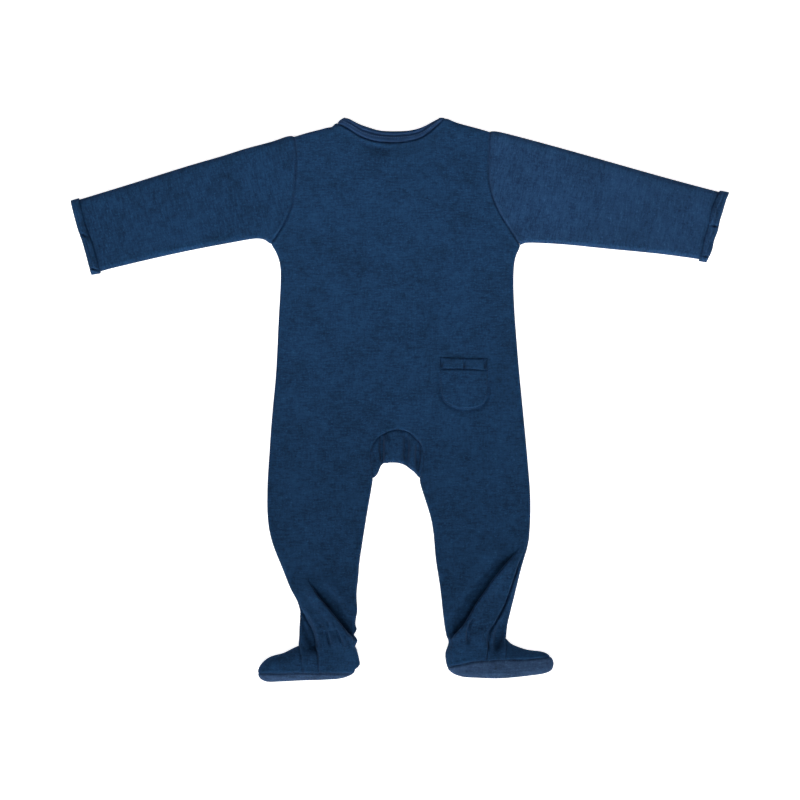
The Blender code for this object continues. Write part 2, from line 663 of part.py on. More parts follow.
class Half:
    """The plan of one half of the body and its leg, as rows from the outside to the middle."""

    def __init__(self, name):
        self.side = SIDES[name]
        self.sign = -1 if name == "left" else 1
        side = self.side
        self.arm = armhole_stations(side)
        self.gusset = gusset_stations(side)
        self.toe = toe_stations(side)
        half = SEAM_GAP / 2 * self.sign
        # Each seam, moved off to its inner and its outer side, with its ends on the edges
        self.arm_in = beside(self.arm, -half)
        self.arm_in[0] = from_end(side["shoulder"])
        self.arm_in[-1] = from_start(side["side"])
        self.arm_out = beside(self.arm, half)
        self.arm_out[0] = from_start(side["sleeve_top"])
        self.arm_out[-1] = from_start(side["sleeve_under"])
        self.gusset_in = beside(self.gusset, half)
        self.gusset_in[0] = CENTRE, self.gusset[0, 1] + SEAM_GAP / 2
        self.gusset_in[-1] = from_end(side["inner_leg"])
        self.gusset_out = beside(self.gusset, -half)
        self.toe_in = beside(self.toe, -half)
        self.toe_in[0] = from_end(side["side"])
        self.toe_out = beside(self.toe, half)
        self.toe_out[0] = from_start(side["instep"])
        self.sole_up = beside(side["sole_seam"], -half)
        self.sole_up[0] = from_end(side["instep"])
        self.sole_up[-1] = from_start(side["inner_leg"])
        self.sole_down = beside(side["sole_seam"], half)
        self.sole_down[0] = from_start(side["sole_edge"])
        self.sole_down[-1] = from_end(side["sole_edge"])
        self.body_rows = len(self.arm) + len(BODY_LEVELS)

    def seam_on_top(self, level):
        """Where the side seam lies on the upper layer, or None above that."""
        seam = self.side["side_seam"]
        if level >= seam[0, 1]:
            return None
        return at_level(seam, max(level, seam[-1, 1]))

    def rows(self, neck, centre_levels, wrap):
        """Plan rows. With wrap, a row starts at the edge; otherwise at the side seam."""
        side = self.side
        rows = []
        shoulder = side["shoulder"]
        reach = turn_length(shoulder[-1])
        whole = length(shoulder)
        top = np.vstack([
            along(shoulder[::-1], np.concatenate([TURN * reach, [whole * 0.62]])),
            neck,
        ])
        top[0] = self.arm_in[0]
        shares_top = (top[:, 0] - top[0, 0]) / (top[-1, 0] - top[0, 0])
        bend = top - (top[0] + (top[-1] - top[0]) * shares_top[:, None])
        depth = np.array([length(self.arm[:k + 1]) if k else 0 for k in range(len(self.arm))])
        depth /= depth[-1]
        for k in range(len(self.arm)):
            start = self.arm_in[k]
            end = np.array([CENTRE, centre_levels[k]])
            even = even_shares(start, end)
            mix = ease(depth[k] * 1.3)
            shares = shares_top * (1 - mix) + even * mix
            rows.append(start + (end - start) * shares[:, None] + bend * (1 - depth[k]) ** 2)
        for level in BODY_LEVELS:
            start = at_level(side["side"], level)
            end = np.array([CENTRE, level])
            rows.append(start + (end - start) * even_shares(start, end)[:, None])
        column = at_level(side["fold_column"], CROTCH)[0]
        for k, level in enumerate(HIP_LEVELS):
            start = at_level(side["side"], level)
            end = self.gusset_in[k]
            mix = ease(k / (len(HIP_LEVELS) - 1))
            shares = even_shares(start, end) * (1 - mix) + leg_shares(start, end, column) * mix
            rows.append(start + (end - start) * shares[:, None])
        for level in side["levels"]:
            start = self.outer_start(level, wrap)
            end = at_level(side["inner_leg"], level)
            column = at_level(side["fold_column"], level)[0]
            shares = leg_shares(start, end, column)
            rows.append(start + (end - start) * shares[:, None])
        heel_levels = self.toe[:, 1]
        for k, level in enumerate(heel_levels):
            last = k == len(heel_levels) - 1
            start = self.toe_in[k] if wrap else self.outer_start(level, wrap)
            end = self.sole_up[-1] if last else at_level(side["inner_leg"], level)
            if last:
                start = seat_on(self.sole_up, start[0])
            column = at_level(side["fold_column"], level)[0]
            shares = leg_shares(start, end, column)
            row = start + (end - start) * shares[:, None]
            if last:
                row = np.array([seat_on(self.sole_up, x) for x in row[:, 0]])
            rows.append(row)
        return rows

    def outer_start(self, level, wrap):
        seam = None if wrap else self.seam_on_top(level)
        edge = at_level(self.side["side"], max(level, self.side["side"][-1, 1]))
        if seam is None:
            return edge
        return seam - np.array([self.sign * SEAM_GAP / 2, 0.0])

    def strip_rows(self):
        """Rows of the front's part that comes round the edge, up to the side seam."""
        rows = []
        side = self.side
        levels = list(side["levels"]) + list(self.toe[:, 1])
        first_foot = len(side["levels"])
        for k, level in enumerate(levels):
            foot = k - first_foot
            edge = self.toe_in[foot] if foot >= 0 else at_level(side["side"], level)
            seam = self.seam_on_top(level)
            if seam is None:
                rows.append(np.repeat(edge[None], 4, axis=0))
                continue
            seam = seam + np.array([self.sign * SEAM_GAP / 2, 0.0])
            if k == len(levels) - 1:
                seam = seat_on(self.sole_up, seam[0])
                edge = seat_on(self.sole_up, edge[0])
            width = np.linalg.norm(seam - edge)
            near, far = np.minimum(TURN[1:3] * turn_length(edge), [0.15 * width, 0.5 * width])
            steps = np.array([0, near, far, width]) / width
            rows.append(edge + (seam - edge) * steps[:, None])
        return rows


def facing(grid, upper):
    """The grid with its faces turned up or down."""
    row = grid.shape[0] // 2
    column = grid.shape[1] // 2
    down = grid[row + 1, column] - grid[row, column]
    across = grid[row, column + 1] - grid[row, column]
    up = np.cross(down, across)[2] > 0
    return grid if up == upper else grid[:, ::-1]


def laid(rows, layer, seam=0.0, extra=0.0):
    rows = np.array(rows)
    flat = lay(rows.reshape(-1, 2), layer, seam, extra)
    return facing(flat.reshape(rows.shape[0], rows.shape[1], 3), layer == "upper")


def gather(rows, grid, elastic):
    """Raises small gathers above and below the ankle's elastic."""
    for row, points in zip(rows, grid):
        if GATHER_NEAR < abs(row[0, 1] - elastic) < GATHER_FAR:
            points[GATHER_COLUMNS, 2] += GATHER_RISE
    return grid


# Pieces

def make_back(halves):
    grids = []
    for half in halves.values():
        neck = beside(neck_stations(half.side, "neck"), SEAM_GAP / 2 * half.sign)
        neck[0] = from_start(half.side["shoulder"])
        neck[-1, 0] = CENTRE
        levels = np.linspace(BACK_NECK - SEAM_GAP / 2, UNDERARM, ARMHOLE_STEPS)
        rows = half.rows(neck, levels, wrap=False)
        grids.append(gather(rows, laid(rows, "upper", SEAM_GAP / 2), half.side["elastic"]))
    return wall("back", grids)


def make_front(name, half):
    shift = half.sign * SEAM_GAP / 2
    neck = beside(neck_stations(half.side, "front_neck"), SEAM_GAP / 2 * half.sign)
    neck[0] = from_start(half.side["shoulder"])
    neck[-1, 0] = CENTRE
    levels = np.linspace(FRONT_NECK - SEAM_GAP / 2, UNDERARM, ARMHOLE_STEPS)
    rows = half.rows(neck, levels, wrap=True)
    for row in rows[:half.body_rows + 1]:
        row[-1, 0] = CENTRE + shift
    under = laid(rows, "lower", -SEAM_GAP / 2)
    over = laid(half.strip_rows(), "upper", -SEAM_GAP / 2)
    return wall("front_" + name, [under, over])


def make_gusset(halves):
    left = halves["left"].gusset_out
    right = halves["right"].gusset_out
    edge = smooth(CROTCH_EDGE)[::-1]
    left[-1] = from_start(edge)
    right[-1] = from_end(edge)
    arch = np.vstack([left[ARCH_STEPS::-1], right[1:ARCH_STEPS + 1]])
    fine = np.linspace(0, len(arch) - 1, 4 * ARCH_STEPS + 1)
    arch = np.column_stack([np.interp(fine, np.arange(len(arch)), arch[:, axis]) for axis in (0, 1)])
    foot = along(edge, np.linspace(0, length(edge), len(arch)))
    foot[0] = left[-1]
    foot[-1] = right[-1]
    left_shares = np.array([length(left[ARCH_STEPS:ARCH_STEPS + k + 1]) if k else 0 for k in range(5)])
    left_shares /= left_shares[-1]
    rows = []
    for k, share in enumerate(left_shares):
        row = arch + (foot - arch) * share
        row[0] = left[ARCH_STEPS + k]
        row[-1] = right[ARCH_STEPS + k]
        rows.append(row)
    return wall("crotch_gusset", [laid(rows, "upper"), laid(rows, "lower")])


def sleeve_plan(half, shares_along):
    """Plan rows across the sleeve, from the armhole to the cuff's end."""
    side = half.side
    arm = half.arm_out
    top = side["sleeve_top"]
    under = side["sleeve_under"]
    end = side["cuff_end"]
    end_top = end[0]
    end_under = end[-1]
    end_shares = spread(end_top, end_under, turn_length(end_top), turn_length(end_under), ARMHOLE_STEPS + 1)
    end_shares = np.delete(end_shares, -2)
    end_row = along(end, end_shares * length(end))
    shares_arm = np.array([length(arm[:k + 1]) if k else 0 for k in range(len(arm))])
    shares_arm /= shares_arm[-1]
    rows = []
    for share in shares_along:
        a = along(top, [share * length(top)])[0]
        b = along(under, [share * length(under)])[0]
        even = spread(a, b, turn_length(a), turn_length(b), ARMHOLE_STEPS + 1)
        even = np.delete(even, -2)
        mix = ease(share * 4)
        shares = shares_arm * (1 - mix) + even * mix
        line = a + (b - a) * shares[:, None]
        bend_arm = arm - (arm[0] + (arm[-1] - arm[0]) * shares_arm[:, None])
        bend_end = end_row - (end_row[0] + (end_row[-1] - end_row[0]) * end_shares[:, None])
        line = line + bend_arm * (1 - share) ** 4 + bend_end * share ** 6
        if share == 0:
            line = arm
        rows.append(line)
    return rows


def make_sleeve(name, half):
    shares = np.concatenate([[0, 0.02, 0.06], np.linspace(0.12, 0.955, 9), [0.993]])
    rows = sleeve_plan(half, shares)
    return wall("sleeve_" + name, [laid(rows, "upper"), laid(rows, "lower")])


def make_cuff(name, half):
    """The hem turned back over the sleeve's end: a ring that goes round the sleeve."""
    side = half.side
    rows = []
    first = side["cuff_edge"]
    last = side["cuff_end"]
    for share in (0, 0.35, 0.7, 1):
        a = seat_on(side["sleeve_top"], first[0, 0] + (last[0, 0] - first[0, 0]) * share)
        b = seat_on(side["sleeve_under"], first[-1, 0] + (last[-1, 0] - first[-1, 0]) * share)
        shares = spread(a, b, turn_length(a), turn_length(b), ARMHOLE_STEPS + 1)
        near = along(first, shares * length(first))
        far = along(last, shares * length(last))
        row = near + (far - near) * share
        row[0] = a
        row[-1] = b
        rows.append(row)
    grids = [laid(rows, "upper"), laid(rows, "lower")]
    return wall("cuff_" + name, grids, NAVY, WALL, WALL + SEAM_GAP)


def make_neckband(halves):
    """One strip from the front opening round the back of the neck to the opening again."""
    shares = np.array([0.0, 0.5, 1.0])
    grids = []
    for half in halves.values():
        side = half.side
        for layer, seam_curve, edge_curve in (
            ("upper", "neck", "band_top"), ("lower", "front_neck", "front_band"),
        ):
            seam = neck_stations(side, seam_curve)
            seam = np.vstack([seam[0] + (seam[1] - seam[0]) * TURN[:3, None], seam[1:]])
            seam = beside(seam, -SEAM_GAP / 2 * half.sign)
            whole = length(side[edge_curve])
            turn = turn_length(side[edge_curve][0])
            steps = np.concatenate([TURN[:3] * turn, np.linspace(turn, whole, NECK_STEPS)])
            edge = along(side[edge_curve], steps)
            rows = seam[:, None] + (edge - seam)[:, None] * shares[None, :, None]
            rows[-1, :, 0] = CENTRE + (half.sign * SEAM_GAP / 2 if layer == "lower" else 0)
            fold = side["band_fold"][::-1]
            rows[0] = along(fold, SEAM_GAP + shares * (length(fold) - SEAM_GAP))
            extra = BAND_WALL - WALL if layer == "upper" else 0.0
            grids.append(laid(rows, layer, 0.0, extra))
    return wall("neckband", grids, NAVY_RIB, BAND_WALL)


def foot_sections(half, seam, shares):
    """Plan rows of a toe cap, each from the foot's upper edge to the sole seam."""
    side = half.side
    instep = side["instep"]
    rows = []
    for share in shares:
        upper = along(instep, [share * (length(instep) - SEAM_GAP / 2)])[0]
        x = seam[0, 0] + (half.toe_out[-1, 0] - seam[0, 0]) * (1 - share)
        lower = seat_on(seam, x)
        if share == 1:
            lower = upper
        width = np.linalg.norm(lower - upper)
        turn = min(turn_length(upper), width * 0.7)
        steps = np.concatenate([TURN * turn, np.linspace(turn, width, FOOT_STEPS - len(TURN) + 1)[1:]])
        steps = steps / max(width, 1e-6)
        rows.append(upper + (lower - upper) * steps[:, None])
    rows[0] = half.toe_out
    rows[0][-1] = seat_on(seam, half.toe_out[-1, 0])
    return rows


def make_toe_cap(name, half):
    seam = half.sole_up
    shares = np.array([0, 0.14, 0.3, 0.46, 0.62, 0.76, 0.88, 0.96, 1])
    rows = foot_sections(half, seam, shares)
    return wall("toe_cap_" + name, [laid(rows, "upper"), laid(rows, "lower")])


def make_sole(name, half):
    seam = half.sole_down
    edge = half.side["sole_edge"]
    first = SEAM_GAP / 2
    run = length(edge) - 2 * first
    shares = np.concatenate([[0, 0.02, 0.06], np.linspace(0.12, 0.88, 13), [0.94, 0.98, 1]])
    rows = []
    for share in shares:
        lower = along(edge, [first + share * run])[0]
        upper = along(seam, [share * length(seam)])[0]
        if share in (0, 1):
            upper = lower
        width = np.linalg.norm(upper - lower)
        turn = min(turn_length(lower), width * 0.8)
        steps = np.concatenate([TURN * turn, [width]]) / max(width, 1e-6)
        rows.append(lower + (upper - lower) * steps[:, None])
    return wall("sole_" + name, [laid(rows, "upper"), laid(rows, "lower")])


def coons(top, bottom, left, right):
    """A plan grid between four curves given as equal numbers of points."""
    u = np.linspace(0, 1, len(top))[None, :, None]
    v = np.linspace(0, 1, len(left))[:, None, None]
    across = left[:, None] * (1 - u) + right[:, None] * u
    down = top[None] * (1 - v) + bottom[None] * v
    corners = (top[0] * (1 - u) + top[-1] * u) * (1 - v) + (bottom[0] * (1 - u) + bottom[-1] * u) * v
    return across + down - corners


def on_panel(panel, plan, stand_off):
    """Plan points set on a panel's upper skin, a distance above it."""
    bm = bmesh.new()
    bm.from_mesh(panel.data)
    tree = BVHTree.FromBMesh(bm)
    bm.free()
    flat = plan.reshape(-1, 2)
    heights = [tree.ray_cast(Vector((x * MM, y * MM, 0.1)), Vector((0, 0, -1)))[0].z / MM for x, y in flat]
    return np.column_stack([flat, np.array(heights) + stand_off]).reshape(plan.shape[:2] + (3,))


def slab(name, under, thickness, colour=NAVY):
    """A wall whose lower skin is the given grid."""
    bm = bmesh.new()
    rows, columns = under.shape[:2]
    low = [[bm.verts.new(p) for p in row] for row in under]
    high = [[bm.verts.new(p + np.array([0, 0, thickness])) for p in row] for row in under]
    for r in range(rows - 1):
        for c in range(columns - 1):
            bm.faces.new((low[r][c], low[r][c + 1], low[r + 1][c + 1], low[r + 1][c]))
            bm.faces.new((high[r][c], high[r + 1][c], high[r + 1][c + 1], high[r][c + 1]))
    rim = [(0, c) for c in range(columns)] + [(r, columns - 1) for r in range(1, rows)]
    rim += [(rows - 1, c) for c in range(columns - 2, -1, -1)] + [(r, 0) for r in range(rows - 2, 0, -1)]
    for (r1, c1), (r2, c2) in zip(rim, rim[1:] + rim[:1]):
        bm.faces.new((low[r2][c2], low[r1][c1], high[r1][c1], high[r2][c2]))
    bmesh.ops.recalc_face_normals(bm, faces=bm.faces)
    return add_object(name, bm, colour)


def pocket_curve(points):
    curve = smooth(points)
    return along(curve, np.linspace(0, length(curve), POCKET_STEPS))


def make_pocket(back):
    hem_top = pocket_curve(POCKET_TOP)
    hem_edge = pocket_curve(POCKET_HEM_EDGE)
    plan = np.array([hem_top, (hem_top + hem_edge) / 2, hem_edge])
    slab("pocket_hem", on_panel(back, plan, SEAM_GAP), HEM_WALL)
    top = hem_edge - np.array([0.0, SEAM_GAP])
    left = pocket_curve([tuple(top[0])] + POCKET_SIDES[0])
    right = pocket_curve([tuple(top[-1])] + POCKET_SIDES[1])
    plan = coons(top, pocket_curve(POCKET_BOTTOM), left, right)
    slab("pocket", on_panel(back, plan, SEAM_GAP), POCKET_WALL)


def make_underlap():
    """The strip behind the front opening, on the inside of both fronts."""
    xs = CENTRE + np.array([-UNDERLAP_WIDTH / 2, UNDERLAP_WIDTH / 2])
    ys = np.linspace(UNDERLAP_TOP, UNDERLAP_END, 3)
    under = np.array([[(x, y, WALL + SEAM_GAP) for x in xs] for y in ys])
    slab("front_placket", under, UNDERLAP_WALL)


def stand_on_origin():
    """Puts the middle of the whole garment's footprint over the origin."""
    made = [thing for thing in bpy.data.objects if thing.type == "MESH"]
    corners = np.array([vertex.co for thing in made for vertex in thing.data.vertices])
    low = corners.min(0)
    high = corners.max(0)
    shift = Vector((-(low[0] + high[0]) / 2, -(low[1] + high[1]) / 2, -low[2]))
    for thing in made:
        for vertex in thing.data.vertices:
            vertex.co += shift


def main():
    for thing in list(bpy.data.objects):
        bpy.data.objects.remove(thing, do_unlink=True)
    halves = {name: Half(name) for name in SIDES}
    back = make_back(halves)
    for name, half in halves.items():
        make_front(name, half)
        make_sleeve(name, half)
        make_cuff(name, half)
        make_toe_cap(name, half)
        make_sole(name, half)
    make_gusset(halves)
    make_neckband(halves)
    make_pocket(back)
    make_underlap()
    stand_on_origin()


main()
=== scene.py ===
import math

import bpy
import numpy as np
from mathutils import Matrix, Vector, kdtree, noise


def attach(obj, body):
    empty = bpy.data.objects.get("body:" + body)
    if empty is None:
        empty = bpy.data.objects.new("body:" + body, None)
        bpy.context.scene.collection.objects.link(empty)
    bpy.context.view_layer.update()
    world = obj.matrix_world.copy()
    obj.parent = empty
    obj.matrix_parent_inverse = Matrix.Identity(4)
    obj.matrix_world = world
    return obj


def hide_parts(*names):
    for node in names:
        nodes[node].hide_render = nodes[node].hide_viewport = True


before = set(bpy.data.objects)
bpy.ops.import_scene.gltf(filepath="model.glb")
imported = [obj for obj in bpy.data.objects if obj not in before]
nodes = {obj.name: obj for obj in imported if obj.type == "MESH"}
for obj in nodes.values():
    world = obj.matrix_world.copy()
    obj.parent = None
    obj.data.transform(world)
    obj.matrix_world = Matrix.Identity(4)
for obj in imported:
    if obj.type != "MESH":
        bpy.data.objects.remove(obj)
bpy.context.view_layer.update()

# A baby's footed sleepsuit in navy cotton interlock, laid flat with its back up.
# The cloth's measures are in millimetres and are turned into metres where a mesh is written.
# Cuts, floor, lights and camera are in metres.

MM = 0.001

CLOTH = 1.3  # thickness of the knit as it lies
PLUMP = 0.95  # how far the cloth's round edges stand out
INSIDE_SHARE = 0.06  # share of its faces that the inside of the cloth keeps
SMALL_PIECE = 4000  # a piece with no more faces than this keeps them all

# A seam: its valley and the swell beside it, measured from the piece's edge
SEAM_JOIN = 0.3  # how far each piece reaches over the gap to its neighbour
SEAM_WIDTH = 1.0
SEAM_UPRIGHT = 0.35  # share of the valley that is left where the cloth stands upright
SWELL_PLACE = 2.8
SWELL_WIDTH = 1.7

# A sleeve's end dives under its turned hem
CUFF_START = 296.0
CUFF_RUN = 4.0
CUFF_DIP = 5.2
CUFF_DIP_WIDTH = 2.1

# How folds and creases run out
FOLD_FELT = 2.2  # how far from its line a fold is felt, in reaches
FOLD_END = 0.1  # share of a fold's line over which it dies away
VALLEY_CURVE = 1.3  # above 1, the valley climbs fastest by the edge
CREST_FOOT = 9.0  # how far back from its edge the upper layer starts to rise
BEYOND_PLACE = 1.1  # the swell past a valley: its place and half width, in reaches
BEYOND_WIDTH = 0.5
LIP_PLACE = -0.4  # where the upper layer hangs out most, before the drop, and the half width
LIP_WIDTH = 1.8
TOP_SIDE = -0.3  # cloth whose normal points down further than this isn't folded
CREASE_FELT = 3.0  # how far from its line a crease is felt, in half widths
CREASE_END = 10.0  # a crease fades over this length at each end
CREASE_END_SHARE = 0.4  # or over this share of a short one

# The cloth's uneven lie: width, height and seed of each swell
LIE = [(38.0, 0.3, 1), (12.0, 0.14, 2)]

# Where large faces are split, as the distance from a seam, a fold or a crease
SPLIT_LEVEL = 3  # only pieces of this level are split, as finer ones need no more
FINE_BY_SEAM = 3.0
FINE_BY_FOLD = 5.0
FINE_BY_CREASE = 0.8  # and two of its half widths
NARROW_CREASE = 2.5  # with a larger half width it needs no finer faces
LARGE_FACE = 0.7  # in square millimetres

CURVE_STEPS = 10  # points of a curve from one given point to the next
WALL_MATCH = 0.004  # an edge as long as the wall is thick, within this, runs through the wall
SAME_POINT = 0.01  # points this close are made one
ABOVE_ALL = 100.0  # higher than any cloth
STITCH_LIFT = 0.12  # how far a stitch's middle stands over the cloth, in its widths
TACK_PITCH = 0.45
TACK_THREAD = 0.5

# ---------------------------------------------------------------- the cut pieces
# wall: the node's thickness. level: how finely its cloth is rounded. dip and rise: the
# seam's valley at the piece's edge and the swell beside it. course: the way the knit's
# courses run. settle: how far the piece sinks onto the one below.
PIECES = {
    "back": dict(wall=1.5, level=3, dip=1.4, rise=0.4, course=0.0, cloth="jersey"),
    "front_left": dict(wall=1.5, level=3, dip=1.0, rise=0.3, course=0.0, cloth="jersey"),
    "front_right": dict(wall=1.5, level=3, dip=1.0, rise=0.3, course=0.0, cloth="jersey"),
    "front_placket": dict(wall=1.2, level=2, dip=0.0, rise=0.0, course=0.0, cloth="jersey"),
    "crotch_gusset": dict(wall=1.5, level=3, dip=1.4, rise=0.4, course=0.0, cloth="jersey"),
    "sleeve_left": dict(wall=1.5, level=3, dip=1.4, rise=0.6, course=104.0, cloth="jersey"),
    "sleeve_right": dict(wall=1.5, level=3, dip=1.4, rise=0.7, course=80.0, cloth="jersey"),
    "cuff_left": dict(wall=1.5, level=3, dip=0.0, rise=1.1, course=104.0, cloth="jersey"),
    "cuff_right": dict(wall=1.5, level=3, dip=0.0, rise=1.1, course=80.0, cloth="jersey"),
    "neckband": dict(wall=1.8, level=4, dip=0.7, rise=0.1, course=0.0, cloth="band"),
    "pocket": dict(wall=1.3, level=4, dip=1.0, rise=0.2, course=0.0, cloth="jersey", settle=0.5),
    "pocket_hem": dict(wall=2.2, level=4, dip=0.5, rise=0.1, course=0.0, cloth="jersey", settle=1.4),
    "toe_cap_left": dict(wall=1.5, level=3, dip=1.2, rise=0.3, course=0.0, cloth="jersey"),
    "toe_cap_right": dict(wall=1.5, level=3, dip=1.2, rise=0.3, course=0.0, cloth="jersey"),
    "sole_left": dict(wall=1.5, level=3, dip=1.2, rise=0.3, course=0.0, cloth="sole"),
    "sole_right": dict(wall=1.5, level=3, dip=1.2, rise=0.3, course=0.0, cloth="sole"),
}

# Folds in which one layer hangs over another. line: the upper layer's edge. side: 1 where
# the valley lies to the line's left. inset: how far back from the line the drop starts.
# floor: the valley's height. steep: the drop's width. reach: the width over which the valley
# climbs back. beyond: the swell past it. crest: how far the upper layer's edge rises. lip:
# how far it hangs out. soft: the share of the line over which the fold grows.
FOLDS = [
    dict(  # across the left calf
        line=[
            (-94.1, -186.6), (-90.6, -196.1), (-85.8, -205.4), (-79.2, -213.2), (-71.1, -223.0),
            (-63.2, -232.9), (-55.2, -242.8), (-50.2, -247.8), (-46.5, -252.5),
        ],
        side=1, inset=1.6, floor=2.8, steep=1.6, reach=18.0, lip=1.7, crest=2.4, beyond=2.4, soft=0.22,
    ),
    dict(  # across the right calf
        line=[
            (126.0, -150.0), (119.5, -160.5), (108.5, -175.0), (97.7, -188.6), (89.7, -200.7),
            (81.7, -211.7), (74.7, -223.7), (68.7, -233.6), (61.7, -241.7), (55.6, -247.6),
            (52.6, -252.2),
        ],
        side=-1, inset=2.6, floor=3.1, steep=1.6, reach=22.0, lip=1.8, crest=2.2, beyond=1.6, soft=0.25,
    ),
    dict(  # the left ankle's side seam
        line=[
            (-101.5, -216.0), (-98.5, -224.0), (-93.6, -232.5), (-88.6, -243.1), (-86.1, -254.5),
            (-85.0, -264.0),
        ],
        side=-1, inset=0.6, floor=2.2, steep=1.6, reach=16.0, lip=0.9, crest=1.8, beyond=0.0, soft=0.18,
    ),
    dict(  # the right calf's side seam
        line=[
            (126.4, -158.3), (119.0, -183.4), (111.9, -206.4), (109.0, -214.8), (98.5, -231.5),
            (93.1, -243.0),
        ],
        side=1, inset=0.4, floor=4.0, steep=1.5, reach=5.0, lip=0.6, crest=0.6, beyond=0.6, soft=0.2,
    ),
]

# Hollows: x, y, half width, half length, lean in degrees and height of the bottom
HOLLOWS = [
    (104.0, -247.0, 5.8, 14.0, -10.0, 2.0),  # the right ankle
    (-92.6, -246.0, 6.4, 16.0, 18.0, 2.0),  # the left ankle
    (-97.2, -232.0, 5.0, 12.0, 22.0, 2.6),
    (-17.8, -49.0, 3.4, 15.0, 0.0, 1.8),  # under the gusset's arch
    (6.8, -48.0, 5.0, 15.0, 0.0, 1.8),
    (19.8, -57.0, 3.4, 16.0, 0.0, 1.8),
]

# Small pushes in plan that shape the laid outline: x, y, radius, and the way in x and y
PUSHES = [
    (-302.0, 180.0, 70.0, 0.1, -1.1),  # left sleeve
    (-229.0, 198.0, 45.0, 0.0, -0.6),
    (-170.0, 175.0, 25.0, 0.0, -0.5),
    (-140.0, 268.5, 16.0, 0.2, -1.3),
    (-331.0, 166.0, 9.0, 0.7, -0.2),
    (-313.0, 134.0, 8.0, 0.6, -0.4),
    (304.0, 188.0, 60.0, 0.0, -0.9),  # right sleeve
    (325.3, 154.4, 9.0, 0.9, -0.6),
    (328.0, 168.0, 7.0, -0.8, -0.2),
    (333.7, 187.4, 8.0, -0.9, 0.0),
    (343.5, 216.0, 5.0, 1.6, 0.4),
    (124.5, 158.6, 8.0, 0.9, -0.7),
    (-127.0, 272.0, 11.0, 0.2, -0.9),
    (-184.0, 255.0, 28.0, 0.2, -0.8),
    (-93.0, 280.0, 14.0, 0.0, 1.0),  # shoulders
    (81.0, 285.0, 22.0, 0.0, 0.8),
    (-70.5, 286.0, 4.0, 0.3, -1.2),
    (-32.0, 285.0, 9.0, 0.2, 0.8),
    (-131.0, -5.0, 55.0, -0.5, 0.0),  # left side
    (-126.5, 80.0, 45.0, -0.5, 0.0),
    (-8.4, -64.2, 14.0, 0.0, -1.1),  # crotch
    (-111.0, -201.0, 14.0, -1.3, -0.5),  # left leg
    (-115.5, -191.0, 16.0, -0.7, -0.3),
    (-129.7, -152.0, 38.0, -0.9, -0.3),
    (-45.0, -221.0, 8.0, 0.9, 0.0),
    (-44.0, -239.9, 3.0, 2.3, 0.0),
    (-45.5, -245.8, 1.8, -1.4, 0.0),
    (-44.4, -251.4, 3.0, 2.3, 0.0),
    (-45.5, -258.0, 2.0, -1.2, 0.0),
    (-40.6, -276.9, 3.0, 1.0, -0.3),
    (-45.4, -282.6, 1.8, -0.6, 0.6),
    (-48.0, -285.0, 3.5, 0.7, -0.7),
    (-121.5, -265.5, 8.0, 0.0, -0.7),
    (42.9, -190.0, 36.0, -1.1, 0.0),  # right leg
    (115.5, -217.0, 13.0, -0.8, 0.0),
    (134.0, -262.0, 10.0, 0.0, -0.9),
    (131.8, -157.3, 30.0, 0.6, 0.0),
    (49.2, -247.2, 5.0, -0.8, -0.4),
    (49.2, -275.5, 7.0, -0.9, -0.6),
    (48.1, -266.0, 7.0, -0.5, 0.0),
    (117.0, -255.5, 12.0, -0.4, -1.3),
    (158.0, -281.7, 6.0, 0.8, -0.6),
]
NECK_LEFT = (-65.8, 288.6, 3.2, -0.7, 1.1)
NECK_RIGHT = (49.2, 291.5, 7.0, 0.0, 1.6)
OWN_PUSHES = {  # the same, for some pieces only
    "back": [NECK_LEFT, NECK_RIGHT],
    "front_left": [NECK_LEFT],
    "front_right": [NECK_RIGHT],
    "neckband": [(46.5, 294.0, 3.0, 0.6, 0.0), (-65.0, 290.5, 2.5, 0.7, -0.4)],
}

NECK_STITCH = [
    (-60.5, 292.0), (-50.1, 286.9), (-39.5, 280.3), (-27.6, 276.4), (-15.2, 274.8), (-2.7, 274.5),
    (7.9, 275.3), (18.4, 277.2), (27.9, 281.8), (36.6, 288.0), (43.0, 292.6),
]
POCKET_EDGE = [
    (43.4, 31.0), (43.5, 18.0), (44.6, 6.0), (49.2, -2.0), (58.2, -7.6), (70.0, -9.3), (80.6, -8.0),
    (88.3, -3.8), (91.9, 5.5), (92.3, 18.0), (92.3, 31.0),
]

